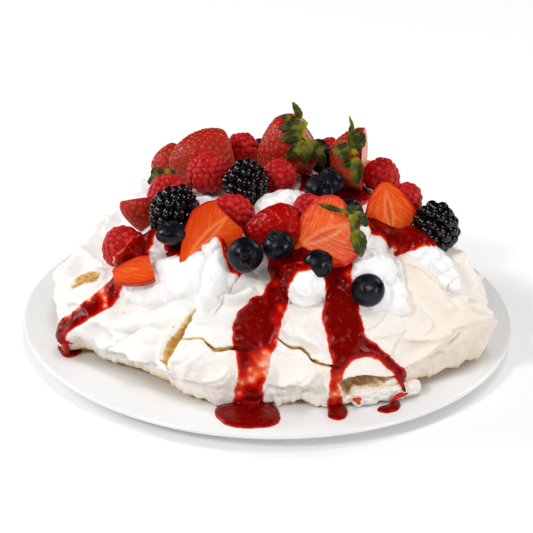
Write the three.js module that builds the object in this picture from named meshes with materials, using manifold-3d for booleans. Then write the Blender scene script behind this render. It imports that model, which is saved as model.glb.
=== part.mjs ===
// A pavlova built together with the round plate it is served on: a cracked meringue shell, a layer
// of whipped cream with dollops, a heap of soft fruit, and thick berry sauce that runs to the plate.
// Millimetres, +Z up. The origin is the middle of the plate's foot and -Y is the front.

import * as THREE from 'three';
import { mergeVertices } from 'three/addons/utils/BufferGeometryUtils.js';
import { ConvexGeometry } from 'three/addons/geometries/ConvexGeometry.js';
import Module from 'manifold-3d';

const wasm = await Module();
wasm.setup();

// ------------------------------------------------------------------ driving dimensions

const GAP = 0.35; // air between pieces that touch
const ROOM_GROWTH = 0.5; // a room is grown a little more, because its slanted faces come closer

const PLATE = {
  radius: 125,
  height: 9,
  footRadius: 88,
  // [in from the rim, height] from the underside round the rim to the flat top
  rim: [[13, 4.2], [1.6, 6], [0, 7.5], [1.6, 9]],
  columns: 44,
};

const MERINGUE = {
  centre: [4, 0],
  top: 66,
  fullness: 2.3, // 2 is an ellipse, more is a flatter top with steeper sides
  // every 22.5 degrees from +X, counter-clockwise
  rimRadius: [104, 103, 103, 104, 104, 104, 104, 106, 109, 113, 102, 106, 101, 107, 106, 113],
  rimLift: [9, 6, 4, 4, 4, 4, 4, 5, 8, 9, 3, 2, 2, 2, 7, 12],
  columns: 48,
  climbs: [90, 72, 58, 47, 37, 28, 20, 12, 6, 0], // the rings of the dome, from the top to the rim
};

// Places on the dome are [azimuth, climb] in degrees: azimuth from +X, climb 0 at the rim and 90 on top.
// A fold is a swell of the shell along a path, or with a negative height a valley.
const FOLDS = [
  { path: [[207, 3], [218, 13], [230, 21], [240, 31]], halfWidth: 11, height: 4 },
  { path: [[209, 1], [221, 7], [234, 9]], halfWidth: 9, height: 3 },
  { path: [[244, 42], [243, 28], [241, 8]], halfWidth: 8, height: -4 },
  { path: [[247, 17], [252, 20], [257, 12]], halfWidth: 14, height: 4 },
  { path: [[257, 52], [261, 48]], halfWidth: 10, height: 4 },
  { path: [[272, 12], [282, 16]], halfWidth: 10, height: 3 },
  { path: [[304, 26], [309, 18], [317, 12], [324, 14]], halfWidth: 9, height: 3 },
  { path: [[325, 49], [322, 40], [322, 29], [326, 16], [330, 6]], halfWidth: 10, height: 5 },
  { path: [[345, 40], [350, 20]], halfWidth: 14, height: 3 },
  { path: [[25, 35], [32, 10]], halfWidth: 16, height: 5 },
  { path: [[50, 42], [55, 8]], halfWidth: 10, height: -4 },
  { path: [[75, 38], [80, 10]], halfWidth: 18, height: 5 },
  { path: [[104, 40], [102, 8]], halfWidth: 10, height: -4 },
  { path: [[125, 36], [130, 12]], halfWidth: 17, height: 5 },
  { path: [[158, 40], [165, 8]], halfWidth: 10, height: -3 },
  { path: [[183, 36], [190, 14]], halfWidth: 15, height: 4 },
];

const CRACKS = [
  { path: [[245, 44], [244, 35], [243, 28], [242, 20], [241, 12], [241, 5]], halfWidth: 3, depth: 13 },
  { path: [[243, 23], [249, 25], [254, 20], [262, 22]], halfWidth: 1.3, depth: 6 },
  { path: [[271, 27], [276, 24], [281, 17], [287, 14]], halfWidth: 1.3, depth: 6 },
  { path: [[203, 19], [205, 27], [206, 35]], halfWidth: 2.6, depth: 9 },
];

// The front is broken open at the right, over a ledge of shell that lies along the rim.
const BREAK = { at: [294, 7], halfSize: [14, 11, 5] };
const LEDGE = { path: [[288, 2, 4], [294, 1, 5], [301, 1, 5], [308, 0, 2.5]], thickness: 4 };

const CREAM = {
  thickness: 8,
  softEdge: 10,
  depthInShell: 6, // how far the uncut body reaches down before the shell is cut out of it
  // paths on the dome with the half width that the cream covers along them
  patches: [
    { path: [[0, 90]], halfWidth: 73 },
    { path: [[211, 46], [217, 38], [226, 36], [234, 43]], halfWidth: 10 },
    { path: [[244, 57], [248, 47], [248, 38], [249, 30]], halfWidth: 7 },
    { path: [[314, 61], [307, 47], [307, 40], [309, 35]], halfWidth: 14 },
    { path: [[328, 52], [328, 46]], halfWidth: 8 },
    { path: [[80, 40], [84, 34]], halfWidth: 13 },
    { path: [[150, 44], [146, 36]], halfWidth: 12 },
  ],
  columns: 48,
  climbs: [90, 72, 60, 50, 41, 33, 26],
  // dollops: place on the dome, height of the middle over the shell, half sizes across, up the slope, out
  dollops: [
    { at: [280, 47], out: 8, halfSize: [10, 10, 8] },
    { at: [328, 52], out: 5, halfSize: [10, 9, 8] },
    { at: [326, 44], out: 4, halfSize: [11, 9, 8] },
    { at: [328, 36], out: 3, halfSize: [10, 8, 8] },
    { at: [329, 31], out: 3, halfSize: [8, 6, 6] },
    { at: [230, 54], out: 9, halfSize: [9, 8, 6] },
    { at: [246, 57], out: 8, halfSize: [7, 9, 6] },
    { at: [312, 73], out: 9, halfSize: [8, 8, 5] },
    { at: [95, 52], out: 6, halfSize: [14, 12, 6] },
  ],
};

// Runs of sauce: [azimuth, climb, half width] from the top down, and how far they stand proud.
const SAUCE = {
  proud: 2.2,
  buried: 2.5,
  onCream: [
    { path: [[200, 61, 5], [205, 53, 7], [207, 46, 7]], base: 7 },
    { path: [[283, 62, 12], [279, 57, 15], [275, 52, 9]], base: 8 },
    { path: [[288, 62, 8], [291, 54, 9], [292, 48, 10]], base: 7 },
    { path: [[338, 71, 5], [341, 64, 6], [344, 58, 6], [347, 50, 4]], base: 8.5 },
  ],
  onShell: [
    { path: [[207, 44, 7], [209, 37, 6], [212, 28, 6], [213, 19, 6], [211, 9, 6], [205, 0, 5]] },
    { path: [[272, 50, 7], [268, 42, 11], [265, 33, 12], [263, 23, 11], [263, 14, 9], [263, 5, 9]] },
    { path: [[291, 46, 9], [291, 38, 10], [291, 29, 11], [290, 20, 10], [287, 11, 5], [285, 2, 4]] },
    { path: [[291, 25, 8], [297, 21, 7], [302, 13, 4], [304, 5, 3]] },
  ],
  // pools on the plate: middle, half length, half width, turn
  pools: [
    { at: [-95, -53], half: [6.5, 6], turn: 0 },
    { at: [-9, -109], half: [15.5, 9], turn: 0 },
    { at: [32, -106], half: [4.5, 5], turn: 0 },
    { at: [58, -102], half: [5.5, 5], turn: 20 },
  ],
  poolHeight: 1.8,
};

// A piece of fruit: the middle, the heading of its tip or crown [azimuth, pitch], the heading that a
// cut face looks in, and its sizes.
const FRUIT = [
  { name: 'dark_berry_1', kind: 'bramble', at: [-45, -34, 75], tip: [50, 75], length: 25.5, width: 23.5 },
  { name: 'dark_berry_2', kind: 'bramble', at: [-12, -12, 82], tip: [355, 75], length: 22.5, width: 21 },
  { name: 'dark_berry_3', kind: 'bramble', at: [80, -26, 66.5], tip: [320, -25], length: 25, width: 21.5 },
  { name: 'raspberry_1', kind: 'raspberry', at: [-31, 3, 81], tip: [110, 75], length: 20, width: 20.5 },
  { name: 'raspberry_2', kind: 'raspberry', at: [4, 0, 81], tip: [155, 80], length: 17, width: 17 },
  { name: 'raspberry_3', kind: 'raspberry', at: [-18, -35, 75], tip: [200, 35], length: 22, width: 18 },
  { name: 'raspberry_4', kind: 'raspberry', at: [-50, -11, 75], tip: [210, 80], length: 19, width: 20 },
  { name: 'raspberry_5', kind: 'raspberry', at: [-69, -43, 60], tip: [170, 70], length: 21, width: 20 },
  { name: 'raspberry_6', kind: 'raspberry', at: [-16, 41, 79], tip: [225, 30], length: 18, width: 18 },
  { name: 'raspberry_7', kind: 'raspberry', at: [56, 14, 77], tip: [50, 60], length: 18, width: 18 },
  { name: 'raspberry_8', kind: 'raspberry', at: [66, -11, 73.5], tip: [55, 35], length: 20, width: 16 },
  { name: 'raspberry_9', kind: 'raspberry', at: [19, -36, 77], tip: [145, 50], length: 18, width: 17 },
  { name: 'raspberry_10', kind: 'raspberry', at: [31, 46, 76], tip: [95, 65], length: 17, width: 17 },
  { name: 'raspberry_11', kind: 'raspberry', at: [-52, 54, 65], tip: [120, 50], length: 19, width: 18 },
  { name: 'raspberry_12', kind: 'raspberry', at: [-33, 50, 73], tip: [60, 65], length: 18, width: 18 },
  { name: 'dark_berry_4', kind: 'bramble', at: [13, 57, 71], tip: [30, 30], length: 23, width: 20 },
  { name: 'blueberry_1', kind: 'blueberry', at: [-45, -53, 71], tip: [110, 75], length: 12, width: 16.5 },
  { name: 'blueberry_2', kind: 'blueberry', at: [-11, -69, 69.5], tip: [280, 10], length: 15, width: 16.5 },
  { name: 'blueberry_3', kind: 'blueberry', at: [4, -61, 71], tip: [200, 70], length: 12.5, width: 15.5 },
  { name: 'blueberry_4', kind: 'blueberry', at: [22, -72, 67], tip: [340, 40], length: 13, width: 14 },
  { name: 'blueberry_5', kind: 'blueberry', at: [45, -75, 56], tip: [270, 35], length: 14.5, width: 15.5 },
  { name: 'blueberry_6', kind: 'blueberry', at: [23, -22, 83], tip: [345, 65], length: 13, width: 14.5 },
  { name: 'blueberry_7', kind: 'blueberry', at: [29, -4, 80], tip: [100, 85], length: 12.5, width: 15 },
  { name: 'blueberry_8', kind: 'blueberry', at: [-5, 52, 74], tip: [95, 75], length: 13, width: 15 },
  { name: 'blueberry_9', kind: 'blueberry', at: [27, 28, 79], tip: [95, 75], length: 14, width: 15 },
  { name: 'blueberry_10', kind: 'blueberry', at: [38, -32, 75.5], tip: [95, 75], length: 12, width: 13 },
  { name: 'blueberry_11', kind: 'blueberry', at: [-20, 66, 67], tip: [60, 60], length: 14, width: 15.5 },
  { name: 'strawberry_whole_1', kind: 'strawberry', at: [-37, 26, 81], tip: [195, -20], face: [275, 30],
    length: 36, width: 26 },
  { name: 'strawberry_whole_2', kind: 'strawberry', at: [7, 22, 87], tip: [185, -35], face: [260, 20],
    length: 32, width: 28 },
  { name: 'strawberry_half_1', kind: 'strawberry_half', at: [47, 15, 86], tip: [80, -10], face: [0, 0],
    length: 31, width: 28, depth: 15 },
  { name: 'strawberry_half_2', kind: 'strawberry_half', at: [24, -58, 75], tip: [175, -30], face: [250, 30],
    length: 33, width: 30, depth: 13 },
  { name: 'strawberry_slice_1', kind: 'strawberry_half', at: [-26, -56, 74], tip: [222, -42], face: [280, 30],
    length: 35, width: 22, depth: 9, taper: 0.6 },
  { name: 'strawberry_wedge_1', kind: 'strawberry_wedge', at: [-61, -62, 55.5], tip: [190, -20],
    face: [245, 55], length: 20, width: 15, depth: 12 },
  { name: 'strawberry_wedge_2', kind: 'strawberry_wedge', at: [-65, -25, 70], tip: [40, 50], face: [65, -35],
    length: 17, width: 17, depth: 14 },
  { name: 'strawberry_half_3', kind: 'strawberry_half', at: [57, -25, 75], tip: [125, 70], face: [270, 15],
    length: 27, width: 22, depth: 11 },
  { name: 'strawberry_half_4', kind: 'strawberry_half', at: [2, -45, 72], tip: [185, 0], face: [90, -65],
    length: 25, width: 19, depth: 11 },
  { name: 'strawberry_half_5', kind: 'strawberry_half', at: [-53, 39, 73], tip: [20, 75], face: [250, 15],
    length: 20, width: 16, depth: 9 },
  { name: 'strawberry_half_6', kind: 'strawberry_half', at: [52, 40, 72], tip: [60, -10], face: [270, 75],
    length: 26, width: 20, depth: 10 },
  { name: 'strawberry_half_7', kind: 'strawberry_half', at: [-2, 80, 64], tip: [150, -10], face: [90, 60],
    length: 28, width: 20, depth: 10 },
];

// A leafy cap: the middle of the hub, the heading it faces, and each leaf's tip and half width.
const CALYXES = [
  { name: 'calyx_1', hub: [18.5, 17.5, 101], facing: [300, 45], leaves: [
    { tip: [3, 19, 108], halfWidth: 2.8 }, { tip: [1, 13, 103], halfWidth: 3 },
    { tip: [4, 8, 98], halfWidth: 3.6 }, { tip: [7, 5, 88], halfWidth: 3.8 },
    { tip: [16, 3, 86], halfWidth: 3.8 }, { tip: [29, 8, 83], halfWidth: 4 },
    { tip: [10, 26, 111], halfWidth: 1.8 }, { tip: [29, 29, 88], halfWidth: 3.2 },
  ] },
  { name: 'calyx_2', hub: [41, -2.5, 96], facing: [255, 20], leaves: [
    { tip: [38, 0, 113], halfWidth: 3.6 }, { tip: [30, 0, 94], halfWidth: 4 },
    { tip: [34, -4, 87], halfWidth: 3.2 }, { tip: [43, -6, 78], halfWidth: 4 },
    { tip: [46, 0, 105], halfWidth: 3 },
  ] },
  { name: 'calyx_3', hub: [40, -60, 83], facing: [340, 30], leaves: [
    { tip: [24, -59, 92], halfWidth: 1.6 }, { tip: [38, -56, 91], halfWidth: 3 },
    { tip: [46, -59, 84], halfWidth: 3.2 }, { tip: [43, -71, 71], halfWidth: 4.2 },
  ] },
  { name: 'calyx_4', hub: [-50, 13, 73], facing: [250, 70], leaves: [
    { tip: [-62, 14, 72], halfWidth: 4 }, { tip: [-57, 19, 77], halfWidth: 3.6 },
    { tip: [-38, 4, 73], halfWidth: 3 },
  ] },
];

const FINISH = {
  plate: { color: 0xf1f1ef, roughness: 0.3 },
  meringue: { color: 0xf3eae0, roughness: 0.75 },
  cream: { color: 0xf7f7f7, roughness: 0.5 },
  bramble: { color: 0x15121a, roughness: 0.25 },
  raspberry: { color: 0xb81828, roughness: 0.45 },
  blueberry: { color: 0x1b2030, roughness: 0.5 },
  strawberry: { color: 0xb5141a, roughness: 0.3 },
  strawberry_half: { color: 0xe8542c, roughness: 0.35 },
  strawberry_wedge: { color: 0xd83c20, roughness: 0.35 },
  calyx: { color: 0x3f6a1e, roughness: 0.5 },
};

// ------------------------------------------------------------------ small tools

const radians = THREE.MathUtils.degToRad;
const clamp = THREE.MathUtils.clamp;
const vec = ([x, y, z]) => new THREE.Vector3(x, y, z);

function seededRandom(seed) {
  let state = seed;
  return () => {
    state = (state * 1664525 + 1013904223) % 4294967296;
    return state / 4294967296;
  };
}

// The unit vector of a heading: azimuth from +X, pitch above the level.
function heading([azimuth, pitch]) {
  const [a, p] = [radians(azimuth), radians(pitch)];
  return new THREE.Vector3(Math.cos(p) * Math.cos(a), Math.cos(p) * Math.sin(a), Math.sin(p));
}

// A closed geometry as a solid that can be joined and cut.
function solidFrom(geometry) {
  const bare = geometry.clone();
  bare.deleteAttribute('normal');
  bare.deleteAttribute('uv');
  const merged = mergeVertices(bare, 1e-3);
  const corners = merged.index.array;
  const triVerts = [];
  for (let i = 0; i < corners.length; i += 3) {
    const [a, b, c] = [corners[i], corners[i + 1], corners[i + 2]];
    if (a !== b && b !== c && c !== a) triVerts.push(a, b, c);
  }
  return new wasm.Manifold(new wasm.Mesh({
    numProp: 3,
    vertProperties: new Float32Array(merged.attributes.position.array),
    triVerts: new Uint32Array(triVerts),
  }));
}

function geometryFrom(solid) {
  const mesh = solid.getMesh();
  const geometry = new THREE.BufferGeometry();
  geometry.setAttribute('position', new THREE.BufferAttribute(new Float32Array(mesh.vertProperties), 3));
  geometry.setIndex(new THREE.BufferAttribute(new Uint32Array(mesh.triVerts), 1));
  return geometry;
}

// Only the largest piece of a cut solid is kept, so that no crumb floats beside it.
function largest(solid) {
  return solid.decompose().reduce((best, part) => (part.volume() > best.volume() ? part : best));
}

// A closed skin of rings from one pole to the other. place(column, row) gives each point, and all
// columns of the first and of the last row share one point.
function closedSkin(columns, rows, place) {
  const geometry = new THREE.SphereGeometry(1, columns, rows);
  const position = geometry.attributes.position;
  for (let row = 0; row <= rows; row++) {
    for (let column = 0; column <= columns; column++) {
      const p = place(column % columns, row);
      position.setXYZ(row * (columns + 1) + column, p.x, p.y, p.z);
    }
  }
  const solid = solidFrom(geometry);
  return solid.volume() < 0 ? solidFrom(turnedInsideOut(geometry)) : solid;
}

function turnedInsideOut(geometry) {
  const turned = geometry.clone();
  const corners = turned.index.array;
  for (let i = 0; i < corners.length; i += 3) {
    [corners[i + 1], corners[i + 2]] = [corners[i + 2], corners[i + 1]];
  }
  return turned;
}

// A smooth closed table of values round the circle.
function roundTable(values, azimuth) {
  const count = values.length;
  const t = ((azimuth / 360) * count + count) % count;
  const i = Math.floor(t);
  const f = t - i;
  const [a, b, c, d] = [-1, 0, 1, 2].map((k) => values[(i + k + count) % count]);
  return b + 0.5 * f * (c - a + f * (2 * a - 5 * b + 4 * c - d + f * (3 * (b - c) + d - a)));
}

// How far a point is from a path of points.
function distanceToPath(point, path) {
  if (path.length === 1) return point.distanceTo(path[0]);
  let nearest = Infinity;
  const foot = new THREE.Vector3();
  for (let i = 0; i + 1 < path.length; i++) {
    new THREE.Line3(path[i], path[i + 1]).closestPointToPoint(point, true, foot);
    nearest = Math.min(nearest, foot.distanceTo(point));
  }
  return nearest;
}

// ------------------------------------------------------------------ the dome of the shell

// The bare dome: rounded like a superellipse from the lifted rim to the top.
function domePoint(azimuth, climb) {
  const rimRadius = roundTable(MERINGUE.rimRadius, azimuth);
  const rimHeight = PLATE.height + roundTable(MERINGUE.rimLift, azimuth);
  const across = Math.cos(radians(climb)) ** (2 / MERINGUE.fullness);
  const up = Math.sin(radians(climb)) ** (2 / MERINGUE.fullness);
  return new THREE.Vector3(
    MERINGUE.centre[0] + rimRadius * across * Math.cos(radians(azimuth)),
    MERINGUE.centre[1] + rimRadius * across * Math.sin(radians(azimuth)),
    rimHeight + (MERINGUE.top - rimHeight) * up,
  );
}

function domeNormal(azimuth, climb) {
  if (climb > 89) return new THREE.Vector3(0, 0, 1);
  const here = domePoint(azimuth, climb);
  const round = domePoint(azimuth + 1, climb).sub(here);
  const upward = domePoint(azimuth, climb + 1).sub(here);
  return round.cross(upward).normalize();
}

const onDome = (path) => path.map(([azimuth, climb]) => domePoint(azimuth, climb));
const foldPaths = FOLDS.map((fold) => ({ ...fold, points: onDome(fold.path) }));

function foldHeight(point) {
  let height = 0;
  for (const fold of foldPaths) {
    const u = distanceToPath(point, fold.points) / fold.halfWidth;
    if (u < 1) height += fold.height * (1 - u * u) ** 2;
  }
  return height;
}

// A point that stands a distance out from the shell's surface, folds included.
function overShell(azimuth, climb, out) {
  const point = domePoint(azimuth, climb);
  return point.addScaledVector(domeNormal(azimuth, climb), foldHeight(point) + out);
}

// The shell from its top down over the dome, in under the rim and across its flat base.
function shellBody(grow) {
  const { columns, climbs, centre } = MERINGUE;
  const rimRow = climbs.length - 1;
  const base = PLATE.height + GAP - grow;
  return closedSkin(columns, rimRow + 3, (column, row) => {
    const azimuth = (column / columns) * 360;
    if (row <= rimRow) return overShell(azimuth, climbs[row], grow);
    const lift = roundTable(MERINGUE.rimLift, azimuth);
    const rim = roundTable(MERINGUE.rimRadius, azimuth) + grow;
    const underside = [[rim - 0.5 * lift, base + 0.35 * lift], [rim - 2 - lift, base], [0, base]];
    const [radius, z] = underside[row - rimRow - 1];
    return new THREE.Vector3(
      centre[0] + radius * Math.cos(radians(azimuth)),
      centre[1] + radius * Math.sin(radians(azimuth)),
      z,
    );
  });
}

// The directions along, across and out of the surface at each stop of a path on the dome.
function stopsAlong(path, base) {
  const points = path.map(([azimuth, climb]) => overShell(azimuth, climb, base));
  return points.map((point, i) => {
    const out = domeNormal(path[i][0], path[i][1]);
    const before = points[Math.max(i - 1, 0)];
    const after = points[Math.min(i + 1, points.length - 1)];
    const along = after.clone().sub(before).normalize();
    return { point, along, out, across: along.clone().cross(out).normalize(), halfWidth: path[i][2] };
  });
}

// A body lofted along a path on the dome. section(stop) lists [across, out] pairs round the body.
function loftOnDome(path, base, section, grow = 0) {
  const stops = stopsAlong(path, base);
  const first = stops[0];
  const last = stops[stops.length - 1];
  const columns = section(first).length;
  return closedSkin(columns, stops.length + 1, (column, row) => {
    if (row === 0) return first.point.clone().addScaledVector(first.along, -0.6 * first.halfWidth - grow);
    if (row > stops.length) {
      return last.point.clone().addScaledVector(last.along, 0.6 * last.halfWidth + grow);
    }
    const stop = stops[row - 1];
    const [across, out] = section(stop)[column];
    return stop.point.clone().addScaledVector(stop.across, across).addScaledVector(stop.out, out);
  });
}

function ribbon({ path, base = 0 }, proud, grow = 0) {
  const buried = -SAUCE.buried - grow;
  return loftOnDome(path, base, ({ halfWidth }) => {
    const w = halfWidth + grow;
    const top = proud + grow;
    return [[-w, buried], [-w, 0.3 * top], [-0.6 * w, top], [0.6 * w, top], [w, 0.3 * top], [w, buried]];
  }, 2 * grow);
}

function crackCutter({ path, halfWidth, depth }) {
  const wide = path.map(([azimuth, climb]) => [azimuth, climb, halfWidth]);
  return loftOnDome(wide, 0, () => [[-halfWidth, 4], [0, -depth], [halfWidth, 4]]);
}

// A rounded lump whose corners are pulled about a little. Its axes lie across, up and out of the slope.
function lumpOnDome({ at: [azimuth, climb], out = 0, halfSize }, seed) {
  const random = seededRandom(seed);
  const lump = mergeVertices(stripped(new THREE.IcosahedronGeometry(1, 1)), 1e-3);
  const position = lump.attributes.position;
  for (let i = 0; i < position.count; i++) {
    const k = 1 + 0.16 * (random() - 0.5);
    position.setXYZ(i, position.getX(i) * k, position.getY(i) * k, position.getZ(i) * k);
  }
  const normal = domeNormal(azimuth, climb);
  const across = new THREE.Vector3(-Math.sin(radians(azimuth)), Math.cos(radians(azimuth)), 0);
  const upSlope = normal.clone().cross(across);
  const place = new THREE.Matrix4().makeBasis(across, upSlope, normal);
  place.scale(vec(halfSize)).setPosition(overShell(azimuth, climb, out));
  return solidFrom(lump.applyMatrix4(place));
}

function stripped(geometry) {
  geometry.deleteAttribute('normal');
  geometry.deleteAttribute('uv');
  return geometry;
}

// ------------------------------------------------------------------ plate, shell and cream

function makePlate(shellRoom) {
  const { radius, footRadius, height, rim, columns } = PLATE;
  const outline = [[0, 0], [footRadius, 0], ...rim.map(([inward, z]) => [radius - inward, z]), [0, height]];
  const lathe = new THREE.LatheGeometry(outline.map(([r, z]) => new THREE.Vector2(r, z)), columns);
  let plate = solidFrom(lathe.rotateX(Math.PI / 2));
  for (const pool of SAUCE.pools) plate = plate.add(poolOnPlate(pool).subtract(shellRoom));
  return largest(plate);
}

// A flat round pool with a low edge, sunk a little way into the plate.
function poolOnPlate({ at, half, turn }) {
  const sunk = 1;
  const rows = [[0, SAUCE.poolHeight], [0.75, SAUCE.poolHeight], [1, 0], [0.9, -sunk], [0, -sunk]];
  const columns = 10;
  const solid = closedSkin(columns, rows.length - 1, (column, row) => {
    const around = (column / columns) * 2 * Math.PI;
    const [k, z] = rows[row];
    return new THREE.Vector3(half[0] * k * Math.cos(around), half[1] * k * Math.sin(around), z);
  });
  return solid.rotate([0, 0, turn]).translate([at[0], at[1], PLATE.height]);
}

// Everything under the top of the plate, with the gap over it.
function belowPlate() {
  const depth = 40;
  const slab = new THREE.BoxGeometry(400, 400, depth);
  return solidFrom(slab.translate(0, 0, PLATE.height + GAP - depth / 2));
}

// The shell with its ledge and sauce. Grown, it is the room that its neighbours leave free.
function shellWithSauce(grow) {
  let shell = shellBody(grow);
  if (grow === 0) shell = shell.subtract(lumpOnDome(BREAK, 5));
  shell = shell.add(ribbon(LEDGE, LEDGE.thickness, grow));
  for (const run of SAUCE.onShell) shell = shell.add(ribbon(run, SAUCE.proud, grow));
  return shell;
}

function makeShell(fruitRoom) {
  let shell = shellWithSauce(0);
  for (const crack of CRACKS) shell = shell.subtract(crackCutter(crack));
  return largest(shell.subtract(belowPlate()).subtract(fruitRoom));
}

const creamPatches = CREAM.patches.map((patch) => ({ ...patch, points: onDome(patch.path) }));

// The cream's thickness: full inside its patches, nothing at their edge and below the shell outside.
function creamThickness(point) {
  const depths = creamPatches.map((patch) => patch.halfWidth - distanceToPath(point, patch.points));
  const inside = Math.max(...depths);
  if (inside < 0) return Math.max(inside * 0.5, -3);
  return CREAM.thickness * clamp(inside / CREAM.softEdge, 0, 1) ** 0.6;
}

function makeCream(shellRoom, fruitRoom) {
  const { columns, climbs, depthInShell } = CREAM;
  let cream = closedSkin(columns, climbs.length, (column, row) => {
    const azimuth = (column / columns) * 360;
    if (row === climbs.length) return overShell(0, 90, -depthInShell);
    return overShell(azimuth, climbs[row], creamThickness(domePoint(azimuth, climbs[row])));
  });
  CREAM.dollops.forEach((dollop, i) => {
    cream = cream.add(lumpOnDome(dollop, 20 + i));
  });
  for (const run of SAUCE.onCream) cream = cream.add(ribbon(run, SAUCE.proud));
  return largest(cream.subtract(shellRoom).subtract(fruitRoom));
}

// ------------------------------------------------------------------ fruit

// The frame of a piece of fruit: Z to its tip or crown, Y the way a cut face looks.
function fruitPlace({ at, tip, face = [270, 12] }) {
  const z = heading(tip);
  const y = heading(face);
  y.addScaledVector(z, -y.dot(z)).normalize();
  const x = y.clone().cross(z);
  return new THREE.Matrix4().makeBasis(x, y, z).setPosition(vec(at));
}

// A thimble's radius as a share of its half width, wider towards the stalk end. up runs from -1 to 1.
const thimble = (up) => Math.sqrt(Math.max(0, 1 - up * up)) * (1.04 - 0.14 * up);

// Peaks spread evenly over a thimble shape.
function drupeletPeaks({ length, width }, count) {
  const golden = Math.PI * (3 - Math.sqrt(5));
  return Array.from({ length: count }, (_, i) => {
    const up = 1 - (2 * (i + 0.5)) / count;
    const radius = (width / 2) * thimble(up);
    return new THREE.Vector3(radius * Math.cos(golden * i), radius * Math.sin(golden * i), (up * length) / 2);
  });
}

// A berry of drupelets: each peak is a six-sided pyramid whose foot lies in the valleys round it.
function drupeletBerry(size, count, valleyDepth) {
  const hull = mergeVertices(stripped(new ConvexGeometry(drupeletPeaks(size, count))), 1e-4);
  const position = hull.attributes.position;
  const corners = hull.index.array;
  const points = [];
  for (let i = 0; i < position.count; i++) points.push(new THREE.Vector3().fromBufferAttribute(position, i));
  const valleyOf = new Map(); // each directed edge of a face leads to the face's valley point
  for (let i = 0; i < corners.length; i += 3) {
    const face = [corners[i], corners[i + 1], corners[i + 2]];
    const valley = new THREE.Vector3();
    face.forEach((corner) => valley.addScaledVector(points[corner], 1 / 3));
    points.push(valley.multiplyScalar(1 - valleyDepth));
    face.forEach((corner, k) => valleyOf.set(`${corner} ${face[(k + 1) % 3]}`, points.length - 1));
  }
  const triangles = [];
  for (const [edge, left] of valleyOf) {
    const [from, to] = edge.split(' ').map(Number);
    const right = valleyOf.get(`${to} ${from}`);
    triangles.push(from, right, left);
  }
  const geometry = new THREE.BufferGeometry().setFromPoints(points);
  geometry.setIndex(triangles);
  return solidFrom(geometry);
}

// A ball turned from an outline of [radius, height] in shares of the half width and the length.
function turnedBerry({ length, width }, outline, columns) {
  return closedSkin(columns, outline.length - 1, (column, row) => {
    const around = (column / columns) * 2 * Math.PI;
    const radius = (outline[row][0] * width) / 2;
    return new THREE.Vector3(radius * Math.cos(around), radius * Math.sin(around), outline[row][1] * length);
  });
}

const BLUEBERRY_OUTLINE = [
  [0, 0.36], [0.26, 0.52], [0.74, 0.37], [1, 0], [0.76, -0.35], [0, -0.5],
];

const STRAWBERRY_TAPER = 0.38;
const WEDGE_TURN = 85; // degrees between the two cut faces of a wedge

// A strawberry: a rounded shoulder at the stalk end that tapers to the tip. The front half's depth
// and the back half's depth may differ, as on a half that was cut a little off the middle.
function strawberryBody({ length, width, depth = width / 2, taper = STRAWBERRY_TAPER }, grow) {
  const columns = 10;
  const rows = 6;
  return closedSkin(columns, rows, (column, row) => {
    const down = (row / rows) * Math.PI;
    const up = Math.cos(down);
    const swell = 1.06 * (1 - taper * clamp(up, -0.3, 1));
    const around = (column / columns) * 2 * Math.PI;
    return new THREE.Vector3(
      (width / 2 + grow) * swell * Math.sin(down) * Math.cos(around),
      (depth + grow) * swell * Math.sin(down) * Math.sin(around),
      (length / 2 + grow) * up,
    );
  });
}

// The half of space in front of a cut plane that turns about the berry's long axis.
function cutAway(turn, offset) {
  const size = 90;
  const block = new THREE.BoxGeometry(size, size, size).translate(0, size / 2 + offset, 0);
  return solidFrom(block.rotateZ(radians(turn)));
}

// The berry with a half of space taken away for each cut. Grown, it is the room that it needs.
function cutStrawberry(size, cuts, grow) {
  let body = strawberryBody(size, grow);
  for (const turn of cuts) body = body.subtract(cutAway(turn, grow));
  return body;
}

// The plain room round a small berry, with few facets. Flat facets lie inside the round shape that
// their corners are on, so the room is stretched until they clear it.
const ROOM = { columns: 7, rows: 4 };
const ROOM_STRETCH = 1 / (Math.cos(Math.PI / ROOM.columns) * Math.cos(Math.PI / (2 * ROOM.rows)));

function roomBall({ length, width }) {
  const outline = Array.from({ length: ROOM.rows + 1 }, (_, i) => {
    const up = Math.cos((i / ROOM.rows) * Math.PI);
    return [thimble(up), 0.5 * up];
  });
  const grown = [length, width].map((size) => (size + 2 * GAP) * ROOM_STRETCH);
  return turnedBerry({ length: grown[0], width: grown[1] }, outline, ROOM.columns);
}


// Each kind's own solid, and the plain room that its neighbours leave for it.
const KINDS = {
  bramble: {
    solid: (size) => drupeletBerry(size, 27, 0.16),
    room: roomBall,
  },
  raspberry: {
    solid: (size) => drupeletBerry(size, 27, 0.12),
    room: roomBall,
  },
  blueberry: {
    solid: (size) => turnedBerry(size, BLUEBERRY_OUTLINE, 9),
    room: roomBall,
  },
  strawberry: {
    solid: (size) => strawberryBody(size, 0),
    room: (size) => strawberryBody(size, ROOM_GROWTH),
  },
  strawberry_half: {
    solid: (size) => cutStrawberry(size, [0], 0),
    room: (size) => cutStrawberry(size, [0], ROOM_GROWTH),
  },
  strawberry_wedge: {
    solid: (size) => cutStrawberry(size, [0, WEDGE_TURN], 0),
    room: (size) => cutStrawberry(size, [0, WEDGE_TURN], ROOM_GROWTH),
  },
};

// ------------------------------------------------------------------ leafy caps

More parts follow.
